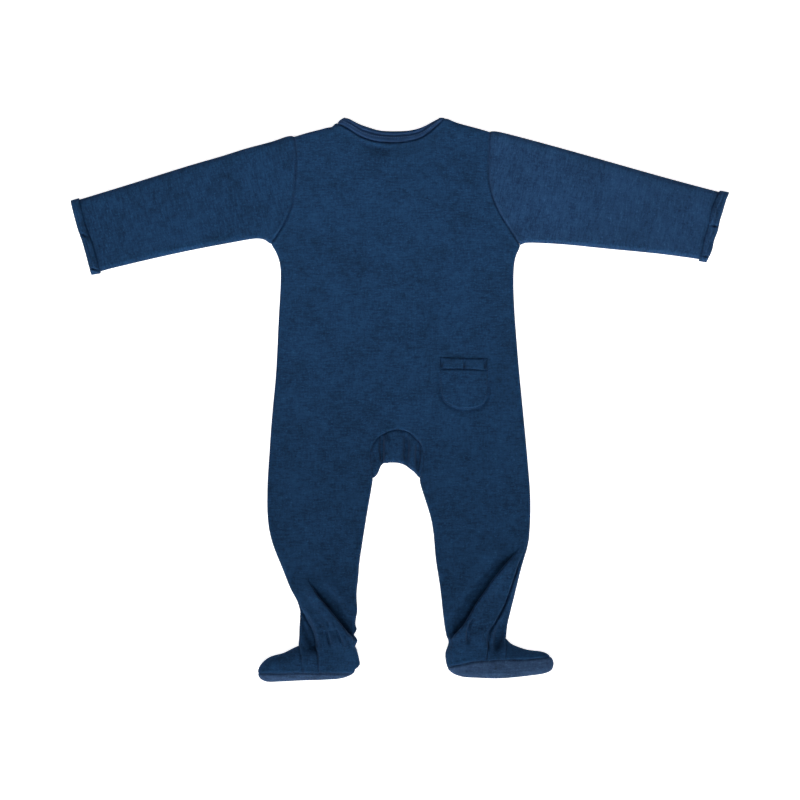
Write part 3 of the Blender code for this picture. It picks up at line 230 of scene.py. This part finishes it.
# Soft ridges and troughs: a line through points, half width, rise, and how far beside the
# line they run
CREASES = [
    (NECK_STITCH, 0.9, -0.9, 2.3),
    (POCKET_EDGE, 0.8, -1.5, -0.2),
    (POCKET_EDGE, 0.9, -1.5, -1.9),
    ([(45.2, 45.0), (45.0, 38.0), (44.9, 31.0)], 0.9, -2.4, 0.0),  # tacks of the pocket's hem
    ([(68.0, 44.5), (68.2, 37.0), (68.0, 29.5)], 0.9, -2.8, 0.0),
    ([(89.5, 44.5), (89.7, 38.0), (89.3, 30.5)], 0.9, -2.4, 0.0),
    ([(-336.6, 175.6), (-322.4, 169.8)], 0.9, -2.6, 0.0),  # pinches of the turned sleeve hems
    ([(-326.4, 139.2), (-312.0, 135.6)], 0.9, -2.2, 0.0),
    ([(322.2, 183.7), (337.6, 180.1)], 0.9, -2.6, 0.0),
    ([(313.4, 152.1), (329.0, 148.7)], 0.9, -2.4, 0.0),
    ([(-41.2, 268.5), (-30.3, 265.9), (-17.2, 262.6), (-6.0, 261.0)], 3.4, -1.1, 0.0),  # nape
    ([(1.0, 51.6), (11.5, 51.0), (21.9, 50.1), (29.9, 47.7)], 2.6, 0.9, 0.0),  # to the pocket
    ([(97.0, 41.0), (104.0, 44.0)], 2.6, 0.7, 0.0),
    (  # along the left sleeve's lower edge
        [(-276.1, 148.7), (-250.0, 153.1), (-218.6, 159.1), (-187.2, 165.9), (-157.9, 172.4)],
        3.0, 0.6, 2.5,
    ),
    ([(-17.6, -36.3), (-18.0, -53.7), (-17.6, -74.2)], 1.7, -1.6, 0.0),  # the gusset's folds
    ([(7.3, -33.1), (7.8, -52.7), (7.5, -77.3)], 1.9, -1.4, 0.0),
    ([(19.3, -42.5), (20.0, -63.1), (19.6, -87.7)], 1.7, -1.4, 0.0),
    ([(-12.6, -36.0), (-12.6, -72.0)], 3.0, 3.0, 0.0),  # the swells between them
    ([(2.2, -33.0), (2.2, -72.0)], 3.0, 2.6, 0.0),
    ([(13.8, -40.0), (14.0, -77.0)], 2.5, 2.4, 0.0),
    ([(-42.7, -147.2), (-45.5, -182.0), (-48.1, -218.9)], 1.4, 0.6, 0.0),  # the left inseam
    ([(-63.8, -214.9), (-56.5, -223.3), (-49.2, -230.6)], 2.8, 1.2, 0.0),  # by the left fold
    ([(-76.3, -238.6), (-74.3, -247.3), (-70.7, -259.5)], 1.7, -3.2, 0.0),  # left ankle's pleats
    ([(-66.9, -236.9), (-63.2, -245.1), (-58.6, -255.5)], 1.4, -2.2, 0.0),
    ([(-58.0, -243.1), (-53.3, -251.4), (-50.0, -260.7)], 1.4, -2.0, 0.0),
    ([(-81.1, -243.0), (-80.5, -251.4), (-79.5, -264.0)], 2.0, 0.9, 0.0),
    ([(-70.1, -242.0), (-67.5, -250.4), (-65.9, -261.9)], 2.0, 1.2, 0.0),
    ([(-60.1, -244.1), (-57.0, -251.4), (-54.4, -261.9)], 1.8, 1.0, 0.0),
    ([(-84.2, -231.5), (-78.5, -239.9)], 1.5, -1.1, 0.0),
    ([(-75.8, -229.4), (-72.7, -237.8)], 1.5, -1.2, 0.0),
    ([(-68.0, -231.0), (-66.5, -238.0)], 1.4, -1.0, 0.0),
    ([(-88.0, -242.9), (-76.4, -242.0), (-63.8, -240.4)], 1.3, -0.5, 0.0),
    ([(79.5, -225.1), (73.6, -236.8), (72.2, -245.1), (72.8, -258.5)], 1.8, -3.6, 0.0),  # right ankle's
    ([(97.8, -233.3), (93.6, -245.1), (93.1, -252.5), (94.5, -262.7)], 1.6, -3.0, 0.0),
    ([(65.4, -238.9), (63.8, -248.3), (63.3, -257.7)], 1.6, -1.2, 0.0),
    ([(68.8, -236.8), (68.0, -247.2), (68.4, -261.9)], 1.8, 1.1, 0.0),
    ([(77.4, -238.9), (78.5, -251.4), (78.5, -264.0)], 2.2, 1.1, 0.0),
    ([(87.9, -232.6), (85.8, -245.1), (86.3, -259.8)], 2.2, 1.1, 0.0),
    ([(81.6, -236.2), (89.9, -235.2), (97.3, -234.1)], 1.3, -0.5, 0.0),
    ([(56.5, -252.5), (56.0, -264.0), (57.0, -276.5)], 2.0, 0.8, 0.0),  # the right heel
]

# Rows of stitches: the line, the stitches' pitch, length and width, and the thread
STITCHING = {
    "neckband_stitches": dict(line=NECK_STITCH, pitch=2.2, long=1.9, wide=0.75, thread="light"),
    "pocket_stitches": dict(line=POCKET_EDGE, pitch=2.4, long=1.8, wide=0.4, thread="dark"),
    "left_elastic_stitches": dict(
        line=[(-88.0, -242.9), (-76.4, -242.0), (-63.0, -240.3)],
        pitch=2.4, long=1.7, wide=0.42, thread="dark"),
    "right_elastic_stitches": dict(
        line=[(79.0, -236.5), (89.9, -235.2), (96.5, -234.1)],
        pitch=2.4, long=1.7, wide=0.42, thread="dark"),
    "left_sole_stitches": dict(
        line=[(-136.0, -290.4), (-100.0, -290.0), (-62.0, -289.1)],
        pitch=2.6, long=1.9, wide=0.45, thread="light"),
}
# Bar tacks: one end, the other end and the width
TACKS = {
    "pocket_tack_left": ((43.6, 42.8), (43.4, 33.6), 1.2),
    "pocket_tack_right": ((91.6, 41.6), (91.4, 32.4), 1.2),
    "cuff_tack_left": ((-331.8, 172.2), (-326.4, 170.0), 1.2),
    "cuff_tack_right": ((326.9, 181.2), (333.8, 179.6), 1.2),
}


# ---------------------------------------------------------------- mesh helpers
def alone(piece):
    """Makes a piece the only one selected."""
    bpy.ops.object.select_all(action="DESELECT")
    piece.select_set(True)
    bpy.context.view_layer.objects.active = piece


def leave_edit_mode():
    """Goes back to object mode with nothing selected in the mesh."""
    bpy.ops.mesh.select_all(action="DESELECT")
    bpy.ops.object.mode_set(mode="OBJECT")


def shaded_smooth(piece):
    piece.data.polygons.foreach_set("use_smooth", [True] * len(piece.data.polygons))


def points_of(piece):
    """The points of a piece, in millimetres."""
    flat = np.empty(len(piece.data.vertices) * 3)
    piece.data.vertices.foreach_get("co", flat)
    return flat.reshape(-1, 3) / MM


def normals_of(piece):
    flat = np.empty(len(piece.data.vertices) * 3)
    piece.data.vertex_normals.foreach_get("vector", flat)
    return flat.reshape(-1, 3)


def move_points(piece, points):
    piece.data.vertices.foreach_set("co", (points * MM).ravel())
    piece.data.update()


def edges_of(piece):
    ends = np.empty(len(piece.data.edges) * 2, dtype=int)
    piece.data.edges.foreach_get("vertices", ends)
    return ends.reshape(-1, 2)


def corner_edges(piece):
    """The edge that starts at each face corner."""
    corner = np.empty(len(piece.data.loops), dtype=int)
    piece.data.loops.foreach_get("edge_index", corner)
    return corner


def open_edge(piece):
    """The points along the piece's open edges, and the way out from the cloth at each."""
    corner = corner_edges(piece)
    sizes = np.empty(len(piece.data.polygons), dtype=int)
    piece.data.polygons.foreach_get("loop_total", sizes)
    middles = np.empty(len(sizes) * 3)
    piece.data.polygons.foreach_get("center", middles)
    middles = middles.reshape(-1, 3) / MM
    face = np.repeat(np.arange(len(sizes)), sizes)
    alone_at = np.bincount(corner, minlength=len(piece.data.edges))[corner] == 1
    points = points_of(piece)
    ends = edges_of(piece)[corner[alone_at]]
    first, second = points[ends[:, 0]], points[ends[:, 1]]
    out = (first + second) / 2 - middles[face[alone_at]]
    run = (second - first) / np.linalg.norm(second - first, axis=1)[:, None]
    out -= run * (out * run).sum(axis=1)[:, None]
    out /= np.linalg.norm(out, axis=1)[:, None]
    ways = np.zeros_like(points)
    np.add.at(ways, ends[:, 0], out)
    np.add.at(ways, ends[:, 1], out)
    edge = np.unique(ends)
    ways = ways[edge]
    return edge, ways / np.maximum(np.linalg.norm(ways, axis=1), 1e-6)[:, None]


def ease(x):
    x = np.clip(x, 0.0, 1.0)
    return x * x * (3.0 - 2.0 * x)


def curve(points):
    """A smooth line through points, as closely set points."""
    points = np.array(points, dtype=float)
    ends = np.vstack([2 * points[0] - points[1], points, 2 * points[-1] - points[-2]])
    t = np.linspace(0.0, 1.0, CURVE_STEPS, endpoint=False)[:, None]
    run = []
    for a, b, c, d in zip(ends, ends[1:], ends[2:], ends[3:]):
        bend = (2 * a - 5 * b + 4 * c - d) * t**2 + (3 * b - a - 3 * c + d) * t**3
        run.append(0.5 * (2 * b + (c - a) * t + bend))
    return np.vstack(run + [points[-1:]])


def to_line(points, line):
    """For each point: distance to a line in plan, left of it positive, share of its length,
    and the way to the line's left at the nearest place."""
    xy = points[:, :2]
    best = np.full(len(xy), 1e9)
    left = np.ones(len(xy))
    share = np.zeros(len(xy))
    ways = np.zeros((len(xy), 2))
    steps = np.linalg.norm(np.diff(line, axis=0), axis=1)
    start = np.concatenate([[0.0], np.cumsum(steps)])
    for k, step in enumerate(steps):
        way = (line[k + 1] - line[k]) / step
        off = xy - line[k]
        t = np.clip(off @ way, 0.0, step)
        gap = off - t[:, None] * way
        d = np.hypot(gap[:, 0], gap[:, 1])
        near = d < best
        best[near] = d[near]
        left[near] = np.where(way[0] * off[near, 1] - way[1] * off[near, 0] >= 0, 1.0, -1.0)
        share[near] = (start[k] + t[near]) / start[-1]
        ways[near] = (-way[1], way[0])
    return best * left, share, ways


def layers_of(face_edges, rim):
    """Numbers the sheets of faces that meet edge to edge. Faces of the rim get -1."""
    meets = {}
    for face, edges in enumerate(face_edges):
        if not rim[face]:
            for edge in edges:
                meets.setdefault(edge, []).append(face)
    layer = np.full(len(face_edges), -1)
    count = 0
    for first in np.flatnonzero(~rim):
        if layer[first] >= 0:
            continue
        layer[first] = count
        waiting = [first]
        while waiting:
            for edge in face_edges[waiting.pop()]:
                for face in meets[edge]:
                    if layer[face] < 0:
                        layer[face] = count
                        waiting.append(face)
        count += 1
    return layer.tolist()


def outer_layer(node, wall):
    """The outer face of a node's wall, as a sheet of quads with an open edge."""
    sheet = bpy.data.objects.new(node + "_cloth", nodes[node].data.copy())
    bpy.context.scene.collection.objects.link(sheet)
    sheet.data.materials.clear()
    alone(sheet)
    bpy.ops.object.mode_set(mode="EDIT")
    bpy.ops.mesh.select_mode(type="FACE")
    bpy.ops.mesh.select_all(action="SELECT")
    bpy.ops.mesh.remove_doubles(threshold=SAME_POINT * MM)
    leave_edit_mode()
    points = points_of(sheet)
    ends = edges_of(sheet)
    spans = np.linalg.norm(points[ends[:, 0]] - points[ends[:, 1]], axis=1)
    across = np.abs(spans - wall) < WALL_MATCH
    face_edges = corner_edges(sheet).reshape(-1, 3)
    layer = layers_of(face_edges, across[face_edges].any(axis=1))
    faces = sheet.data.polygons

    def size(k):
        """A layer's area, then how far it faces up, which decides between two as large."""
        its = [f for f, other in zip(faces, layer) if other == k]
        return round(sum(f.area for f in its) / MM**2), sum(f.normal.z * f.area for f in its)

    outer = max(set(layer) - {-1}, key=size)
    faces.foreach_set("select", [k != outer for k in layer])
    bpy.ops.object.mode_set(mode="EDIT")
    bpy.ops.mesh.delete(type="FACE")
    bpy.ops.mesh.select_all(action="SELECT")
    bpy.ops.mesh.tris_convert_to_quads(face_threshold=math.pi, shape_threshold=math.pi)
    leave_edit_mode()
    return sheet


def rounded(piece, level):
    """Rounds the piece's faces. Its corners stay."""
    alone(piece)
    step = piece.modifiers.new("rounding", "SUBSURF")
    step.levels = step.render_levels = level
    step.boundary_smooth = "PRESERVE_CORNERS"
    bpy.ops.object.modifier_apply(modifier=step.name)


def wavy(points, width, seed):
    """A soft random swell between -1 and 1."""
    shift = Vector((seed * 17.3, seed * 5.1, seed * 3.7))
    return np.array([noise.noise(Vector(p) / width + shift) for p in points])


def near_line(points, line, reach):
    """Numbers the points that can be in reach of a line, in plan."""
    low, high = line.min(axis=0) - reach, line.max(axis=0) + reach
    return np.flatnonzero(((points[:, :2] > low) & (points[:, :2] < high)).all(axis=1))


def seam_gaps(points, edge):
    """How far each point is from the piece's open edge."""
    tree = kdtree.KDTree(len(edge))
    for k, index in enumerate(edge):
        tree.insert(points[index], k)
    tree.balance()
    return np.array([tree.find(p)[2] for p in points])


def refined(piece):
    """Splits large faces by seams, folds and creases, so that they can take a finer form."""
    points = points_of(piece)
    fine = seam_gaps(points, open_edge(piece)[0]) < FINE_BY_SEAM
    area = np.empty(len(piece.data.polygons))
    piece.data.polygons.foreach_get("area", area)
    up = normals_of(piece)[:, 2] > 0.0
    lines = [(fold["line"], FINE_BY_FOLD, 0.0) for fold in FOLDS]
    for line, width, _, aside in CREASES:
        if width < NARROW_CREASE:
            lines.append((line, 2.0 * width + FINE_BY_CREASE, aside))
    for line, reach, aside in lines:
        line = curve(line)
        near = near_line(points, line, reach + abs(aside))
        if len(near):
            gap, _, _ = to_line(points[near], line)
            close = (np.abs(gap - aside) < reach) & up[near]
            fine[near[close]] = True
    corners = np.empty(len(piece.data.loops), dtype=int)
    piece.data.loops.foreach_get("vertex_index", corners)
    starts = np.empty(len(piece.data.polygons), dtype=int)
    piece.data.polygons.foreach_get("loop_start", starts)
    chosen = np.minimum.reduceat(fine[corners].astype(int), starts) > 0
    select_faces(piece, chosen & (area > LARGE_FACE * MM**2))
    bpy.ops.mesh.subdivide(number_cuts=1, ngon=False)
    leave_edit_mode()


def select_faces(piece, chosen):
    """Goes to edit mode with the chosen faces selected."""
    alone(piece)
    bpy.ops.object.mode_set(mode="EDIT")
    bpy.ops.mesh.select_mode(type="FACE")
    leave_edit_mode()
    piece.data.polygons.foreach_set("select", chosen)
    bpy.ops.object.mode_set(mode="EDIT")


def folded(piece):
    """Drops the cloth beside each fold's edge, hangs the edge over it and makes the hollows."""
    points = points_of(piece)
    up = ease((normals_of(piece)[:, 2] - TOP_SIDE) / -TOP_SIDE)
    for fold in FOLDS:
        line = curve(fold["line"])
        near = near_line(points, line, FOLD_FELT * fold["reach"])
        if not len(near):
            continue
        some = points[near]
        gap, share, way = to_line(some, line)
        gap = gap * fold["side"] + fold["inset"]
        fade = ease(np.minimum(share / fold["soft"], (1.0 - share) / FOLD_END)) * up[near]
        past = gap / fold["reach"]
        drop = ease(gap / fold["steep"])
        swell = np.exp(-(((past - BEYOND_PLACE) / BEYOND_WIDTH) ** 2))
        some[:, 2] += fold["beyond"] * swell * fade
        some[:, 2] += fold["crest"] * ease(1.0 + gap / CREST_FOOT) * (gap < 0) * fade
        deep = drop * (1.0 - np.clip(past, 0.0, 1.0)) ** VALLEY_CURVE * fade
        some[:, 2] -= deep * np.maximum(0.0, some[:, 2] - fold["floor"])
        some[:, 2] += fold["crest"] * (1.0 - drop) * (gap >= 0) * fade
        push = fold["lip"] * np.exp(-(((gap - LIP_PLACE) / LIP_WIDTH) ** 2)) * fade
        some[:, :2] += way * (fold["side"] * push)[:, None]
        points[near] = some
    for x, y, wide, long, lean, bottom in HOLLOWS:
        lean = math.radians(lean)
        off = points[:, :2] - (x, y)
        across = (off[:, 0] * math.cos(lean) + off[:, 1] * math.sin(lean)) / wide
        along = (off[:, 1] * math.cos(lean) - off[:, 0] * math.sin(lean)) / long
        deep = np.exp(-((across**2 + along**2) ** 2)) * up
        points[:, 2] -= deep * np.maximum(0.0, points[:, 2] - bottom)
    move_points(piece, points)


def crumple(piece, dip, rise, lies_on_cloth, settle):
    """Moves the points: round edges, seam valleys, creases, an uneven lie and the pushes."""
    points = points_of(piece)
    normals = normals_of(piece)
    edge, out = open_edge(piece)
    gap = seam_gaps(points, edge)
    flat = np.abs(normals[:, 2])
    up = np.clip(normals[:, 2], 0.0, 1.0)
    upright = SEAM_UPRIGHT + (1.0 - SEAM_UPRIGHT) * flat
    lift = -dip * upright * np.exp(-((gap / SEAM_WIDTH) ** 2))
    lift += rise * flat * np.exp(-(((gap - SWELL_PLACE) / SWELL_WIDTH) ** 2))
    if piece.name.startswith("sleeve"):
        by_cuff = ease((np.abs(points[:, 0]) - CUFF_START) / CUFF_RUN)
        lift -= CUFF_DIP * by_cuff * np.exp(-((gap / CUFF_DIP_WIDTH) ** 2)) * flat
    lift += sum(height * wavy(points, width, seed) for width, height, seed in LIE) * up
    for line, width, height, aside in CREASES:
        line = curve(line)
        near = near_line(points, line, CREASE_FELT * width + abs(aside))
        if len(near):
            distance, share, _ = to_line(points[near], line)
            length = np.linalg.norm(np.diff(line, axis=0), axis=1).sum()
            from_end = np.minimum(share, 1.0 - share)
            fade = ease(from_end * max(length / CREASE_END, 1.0 / CREASE_END_SHARE))
            lift[near] += height * np.exp(-(((distance - aside) / width) ** 2)) * fade * up[near]
    moved = points + normals * lift[:, None]
    if not lies_on_cloth:
        moved[:, :2] += normals[:, :2] * (PLUMP * (1.0 - flat))[:, None]
        moved[edge] += out * SEAM_JOIN
    for x, y, radius, dx, dy in PUSHES + OWN_PUSHES.get(piece.name.removesuffix("_cloth"), []):
        near = np.exp(-((moved[:, 0] - x) ** 2 + (moved[:, 1] - y) ** 2) / radius**2)
        moved[:, :2] += near[:, None] * (dx, dy)
    moved[:, 2] = np.maximum(moved[:, 2] - settle, 0.0)
    move_points(piece, moved)


def thickened(piece):
    """Gives the cloth its thickness, inwards and above the floor, with a coarser inner face."""
    alone(piece)
    outer = len(piece.data.polygons)
    step = piece.modifiers.new("cloth", "SOLIDIFY")
    step.thickness = CLOTH * MM
    step.offset = -1.0
    step.use_even_offset = False
    bpy.ops.object.modifier_apply(modifier=step.name)
    if outer > SMALL_PIECE:
        inner = np.zeros(len(piece.data.polygons), dtype=bool)
        inner[outer:2 * outer] = True
        select_faces(piece, inner)
        bpy.ops.mesh.decimate(ratio=INSIDE_SHARE)
        leave_edit_mode()
    shaded_smooth(piece)
    points = points_of(piece)
    points[:, 2] = np.maximum(points[:, 2], 0.0)
    move_points(piece, points)


# ---------------------------------------------------------------- sewing
def stitch_form(long, wide):
    """One stitch: a short, fat length of thread, lying along X."""
    bpy.ops.object.select_all(action="DESELECT")
    bpy.ops.mesh.primitive_uv_sphere_add(segments=8, ring_count=5, radius=0.5 * MM)
    stitch = bpy.context.object
    stitch.scale = (long, wide, wide)
    bpy.ops.object.transform_apply(location=True, rotation=True, scale=True)
    return stitch


def top_of_cloth(x, y):
    """Where a line straight down at x, y first meets the cloth, and its normal there."""
    best = None
    start = Vector((x * MM, y * MM, ABOVE_ALL * MM))
    for piece in dressed.values():
        hit, place, normal, _ = piece.ray_cast(start, Vector((0, 0, -1)))
        if hit and (best is None or place.z > best[0].z):
            best = place, normal
    return best


def sewn(name, places, long, wide, thread):
    """Copies one stitch to each place, given as x, y and its direction, and joins them."""
    first = stitch_form(long, wide)
    copies = []
    for x, y, angle in places:
        found = top_of_cloth(x, y)
        if found is None:
            continue
        place, normal = found
        along = Vector((math.cos(angle), math.sin(angle), 0.0))
        along = (along - normal * along.dot(normal)).normalized()
        across = normal.cross(along)
        copy = bpy.data.objects.new(name, first.data.copy())
        bpy.context.scene.collection.objects.link(copy)
        turn = Matrix((along, across, normal)).transposed().to_4x4()
        copy.data.transform(Matrix.Translation(place + normal * wide * STITCH_LIFT * MM) @ turn)
        copies.append(copy)
    bpy.data.objects.remove(first)
    bpy.ops.object.select_all(action="DESELECT")
    for copy in copies:
        copy.select_set(True)
    bpy.context.view_layer.objects.active = copies[0]
    bpy.ops.object.join()
    piece = copies[0]
    piece.name = piece.data.name = name
    shaded_smooth(piece)
    piece.data.materials.append(THREADS[thread])
    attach(piece, "root")


def stations(line, pitch):
    """Places along a line at an even pitch, each with the line's direction there."""
    line = curve(line)
    steps = np.diff(line, axis=0)
    start = np.concatenate([[0.0], np.cumsum(np.linalg.norm(steps, axis=1))])
    for s in np.arange(pitch / 2, start[-1], pitch):
        k = min(np.searchsorted(start, s) - 1, len(steps) - 1)
        x, y = line[k] + steps[k] * (s - start[k]) / (start[k + 1] - start[k])
        yield x, y, math.atan2(steps[k][1], steps[k][0])


# ---------------------------------------------------------------- finishes
class Value:
    """A value in a material, which can be used in sums."""

    def __init__(self, finish, socket):
        self.finish = finish
        self.socket = socket

    def _sum(self, operation, first, second):
        return self.finish.node("ShaderNodeMath", {"operation": operation}, {0: first, 1: second})

    def __add__(self, other):
        return self._sum("ADD", self, other)

    def __radd__(self, other):
        return self._sum("ADD", other, self)

    def __sub__(self, other):
        return self._sum("SUBTRACT", self, other)

    def __rsub__(self, other):
        return self._sum("SUBTRACT", other, self)

    def __mul__(self, other):
        return self._sum("MULTIPLY", self, other)

    def __rmul__(self, other):
        return self._sum("MULTIPLY", other, self)

    def __truediv__(self, other):
        return self._sum("DIVIDE", self, other)

    def __rtruediv__(self, other):
        return self._sum("DIVIDE", other, self)


class Finish:
    """A material and the one way its nodes are added."""

    def __init__(self, name):
        self.material = bpy.data.materials.new(name)
        self.material.use_nodes = True
        self.tree = self.material.node_tree
        self.shader = self.tree.nodes["Principled BSDF"]

    def feed(self, socket, value):
        if isinstance(value, Value):
            self.tree.links.new(value.socket, socket)
        else:
            socket.default_value = value

    def node(self, kind, settings=(), values=(), out=0):
        node = self.tree.nodes.new(kind)
        for key, value in dict(settings).items():
            setattr(node, key, value)
        for key, value in dict(values).items():
            self.feed(node.inputs[key], value)
        return Value(self, node.outputs[out])

    def set(self, **values):
        for key, value in values.items():
            self.feed(self.shader.inputs[key.replace("_", " ")], value)

    def turned(self, angle, scale):
        """Object coordinates turned to the knit's courses and scaled, per metre."""
        flat = self.node(
            "ShaderNodeMapping", {"vector_type": "POINT"},
            {
                "Vector": self.node("ShaderNodeTexCoord", out="Object"),
                "Rotation": (0.0, 0.0, -math.radians(angle)),
            },
        )
        return self.node("ShaderNodeVectorMath", {"operation": "MULTIPLY"}, {0: flat, 1: scale})

    def grain(self, vector, detail):
        return self.node(
            "ShaderNodeTexNoise", {},
            {"Vector": vector, "Scale": 1.0, "Detail": detail, "Roughness": 0.55},
        )

    def between(self, value, low, high):
        """0 below low, 1 above high."""
        return self.node(
            "ShaderNodeMapRange", {"clamp": True},
            {"Value": value, "From Min": low, "From Max": high, "To Min": 0.0, "To Max": 1.0},
        )

    def scaled(self, colour, amount):
        return self.node("ShaderNodeVectorMath", {"operation": "SCALE"}, {0: colour, "Scale": amount})


def knit(name, colour, course=0.0, wale=0.8, stitch=0.7, mottle=1.0, sheen=0.08):
    """Cotton knit: slubby yarn along the courses, mottles, light flecks and small stitches.

    course is the way the courses run, in degrees. wale and stitch are the stitches' width and
    height, in millimetres. Each grain is given along, across and through a course.
    """
    f = Finish(name)
    slub = f.grain(f.turned(course, (120.0, 560.0, 560.0)), 2.0)
    wales = f.grain(f.turned(course, (560.0, 150.0, 560.0)), 2.0)
    fine = f.grain(f.turned(course, (600.0, 800.0, 800.0)), 1.0)
    patch = f.grain(f.turned(course, (95.0, 120.0, 120.0)), 1.0)
    cloud = f.grain(f.turned(course, (24.0, 32.0, 32.0)), 1.0)
    fleck = f.between(f.grain(f.turned(course, (420.0, 700.0, 700.0)), 0.0), 0.68, 0.78)
    tone = 1.0 + 0.95 * mottle * (slub - 0.5) + 0.65 * mottle * (wales - 0.5)
    tone = tone + 0.75 * mottle * (fine - 0.5) + 0.5 * (patch - 0.5) + 0.5 * (cloud - 0.5)
    tone = tone + 0.45 * mottle * fleck
    f.set(Base_Color=f.scaled(colour, tone))
    f.set(Roughness=0.95, Specular_IOR_Level=0.1, Sheen_Weight=sheen, Sheen_Roughness=0.5)
    f.set(Sheen_Tint=(0.38, 0.52, 0.85, 1.0))
    place = f.turned(course, (1000.0, 1000.0, 1000.0))
    along = f.node("ShaderNodeSeparateXYZ", {}, {"Vector": place})
    across = Value(f, along.socket.node.outputs["Y"])
    column = f.node("ShaderNodeMath", {"operation": "PINGPONG"}, {0: along, 1: wale / 2})
    row = f.node("ShaderNodeMath", {"operation": "PINGPONG"}, {0: across + 0.8 * column, 1: stitch / 2})
    height = column / (wale / 2) + 0.8 * (row / (stitch / 2)) + 1.4 * fine
    f.set(Normal=f.node(
        "ShaderNodeBump", {}, {"Height": height, "Strength": 0.5, "Distance": 0.00012}, out="Normal",
    ))
    return f.material


NAVY = (0.0097, 0.0395, 0.1015)
CLOTHS = {
    ("jersey", 0.0): knit("jersey_body", NAVY),
    ("jersey", 104.0): knit("jersey_left_sleeve", NAVY, 104.0),
    # The right sleeve and its turned hem get a lighter copy of the navy jersey: painted sheen, for the
    # way this sleeve's knit catches more light than the body's.
    ("jersey", 80.0): knit("jersey_right_sleeve", (0.0150, 0.0495, 0.123), 80.0),
    ("band", 0.0): knit("rib_band", (0.0135, 0.040, 0.104), 0.0, wale=0.6, stitch=0.5, mottle=0.5),
    ("sole", 0.0): knit("jersey_sole", (0.027, 0.058, 0.125)),
}
THREADS = {
    "light": knit("light_thread", (0.036, 0.078, 0.165), wale=0.3, stitch=0.3, mottle=0.4),
    # The dark thread is real thread, coloured darker than the navy cloth as painted shade along the
    # rows and bar tacks sewn with it.
    "dark": knit("dark_thread", (0.006, 0.024, 0.065), wale=0.3, stitch=0.3, mottle=0.4, sheen=0.0),
}

# ---------------------------------------------------------------- the garment
dressed = {}
for node, how in PIECES.items():
    piece = outer_layer(node, how["wall"])
    rounded(piece, how["level"])
    if how["level"] == SPLIT_LEVEL:
        refined(piece)
    folded(piece)
    crumple(piece, how["dip"], how["rise"], node.startswith("pocket"), how.get("settle", 0.0))
    thickened(piece)
    piece.data.materials.append(CLOTHS[how["cloth"], how["course"]])
    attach(piece, "root")
    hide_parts(node)
    dressed[node] = piece

for name, row in STITCHING.items():
    sewn(name, stations(row["line"], row["pitch"]), row["long"], row["wide"], row["thread"])
for name, (start, end, width) in TACKS.items():
    bar = [(x, y, angle + math.pi / 2) for x, y, angle in stations([start, end], TACK_PITCH)]
    sewn(name, bar, width, TACK_THREAD, "dark")

# ---------------------------------------------------------------- floor, light, camera
bpy.ops.object.select_all(action="DESELECT")
bpy.ops.mesh.primitive_plane_add(size=8.0, location=(0.0, 0.0, -0.0005))
floor = bpy.context.object
floor.name = "floor"
bpy.ops.object.transform_apply(location=True, rotation=True, scale=True)
paper = Finish("pale_floor")
paper.set(
    Base_Color=(0.9, 0.9, 0.9, 1.0), Roughness=1.0, Specular_IOR_Level=0.0,
    Emission_Color=(1.0, 1.0, 1.0, 1.0), Emission_Strength=0.85,
)
floor.data.materials.append(paper.material)

sky = bpy.data.worlds.new("studio")
sky.use_nodes = True
sky.node_tree.nodes["Background"].inputs["Color"].default_value = (1.0, 1.0, 1.0, 1.0)
sky.node_tree.nodes["Background"].inputs["Strength"].default_value = 0.18
bpy.context.scene.world = sky


def softbox(name, place, aim, size, power, spread):
    """A soft light with a grid in front, pointed at the place given as aim."""
    data = bpy.data.lights.new(name, "AREA")
    data.shape = "RECTANGLE"
    data.size, data.size_y = size
    data.energy = power
    data.spread = math.radians(spread)
    lamp = bpy.data.objects.new(name, data)
    bpy.context.scene.collection.objects.link(lamp)
    lamp.location = place
    lamp.rotation_euler = (Vector(aim) - lamp.location).to_track_quat("-Z", "Y").to_euler()


softbox("low_light", (0.0, -2.9, 1.3), (0.0, 0.45, 0.0), (1.6, 0.9), 2.3, 20.0)
softbox("high_light", (0.0, -2.0, 2.0), (0.0, 0.6, 0.0), (1.2, 0.6), 2.85, 26.0)
softbox("foot_light", (0.0, -1.7, 1.5), (0.0, -0.47, 0.0), (1.4, 0.15), 0.9, 10.0)
softbox("left_light", (-2.4, 0.2, 1.0), (0.0, -0.05, 0.0), (1.2, 0.6), 0.95, 50.0)
softbox("right_light", (2.4, 0.2, 1.0), (0.0, -0.05, 0.0), (1.2, 0.6), 0.95, 50.0)

eye = bpy.data.cameras.new("camera")
eye.lens = 85.0
eye.sensor_width = 36.0
camera = bpy.data.objects.new("camera", eye)
bpy.context.scene.collection.objects.link(camera)
camera.location = (0.001, -0.0004, 1.98)  # straight above
bpy.context.scene.camera = camera
bpy.context.scene.view_settings.view_transform = "Standard"
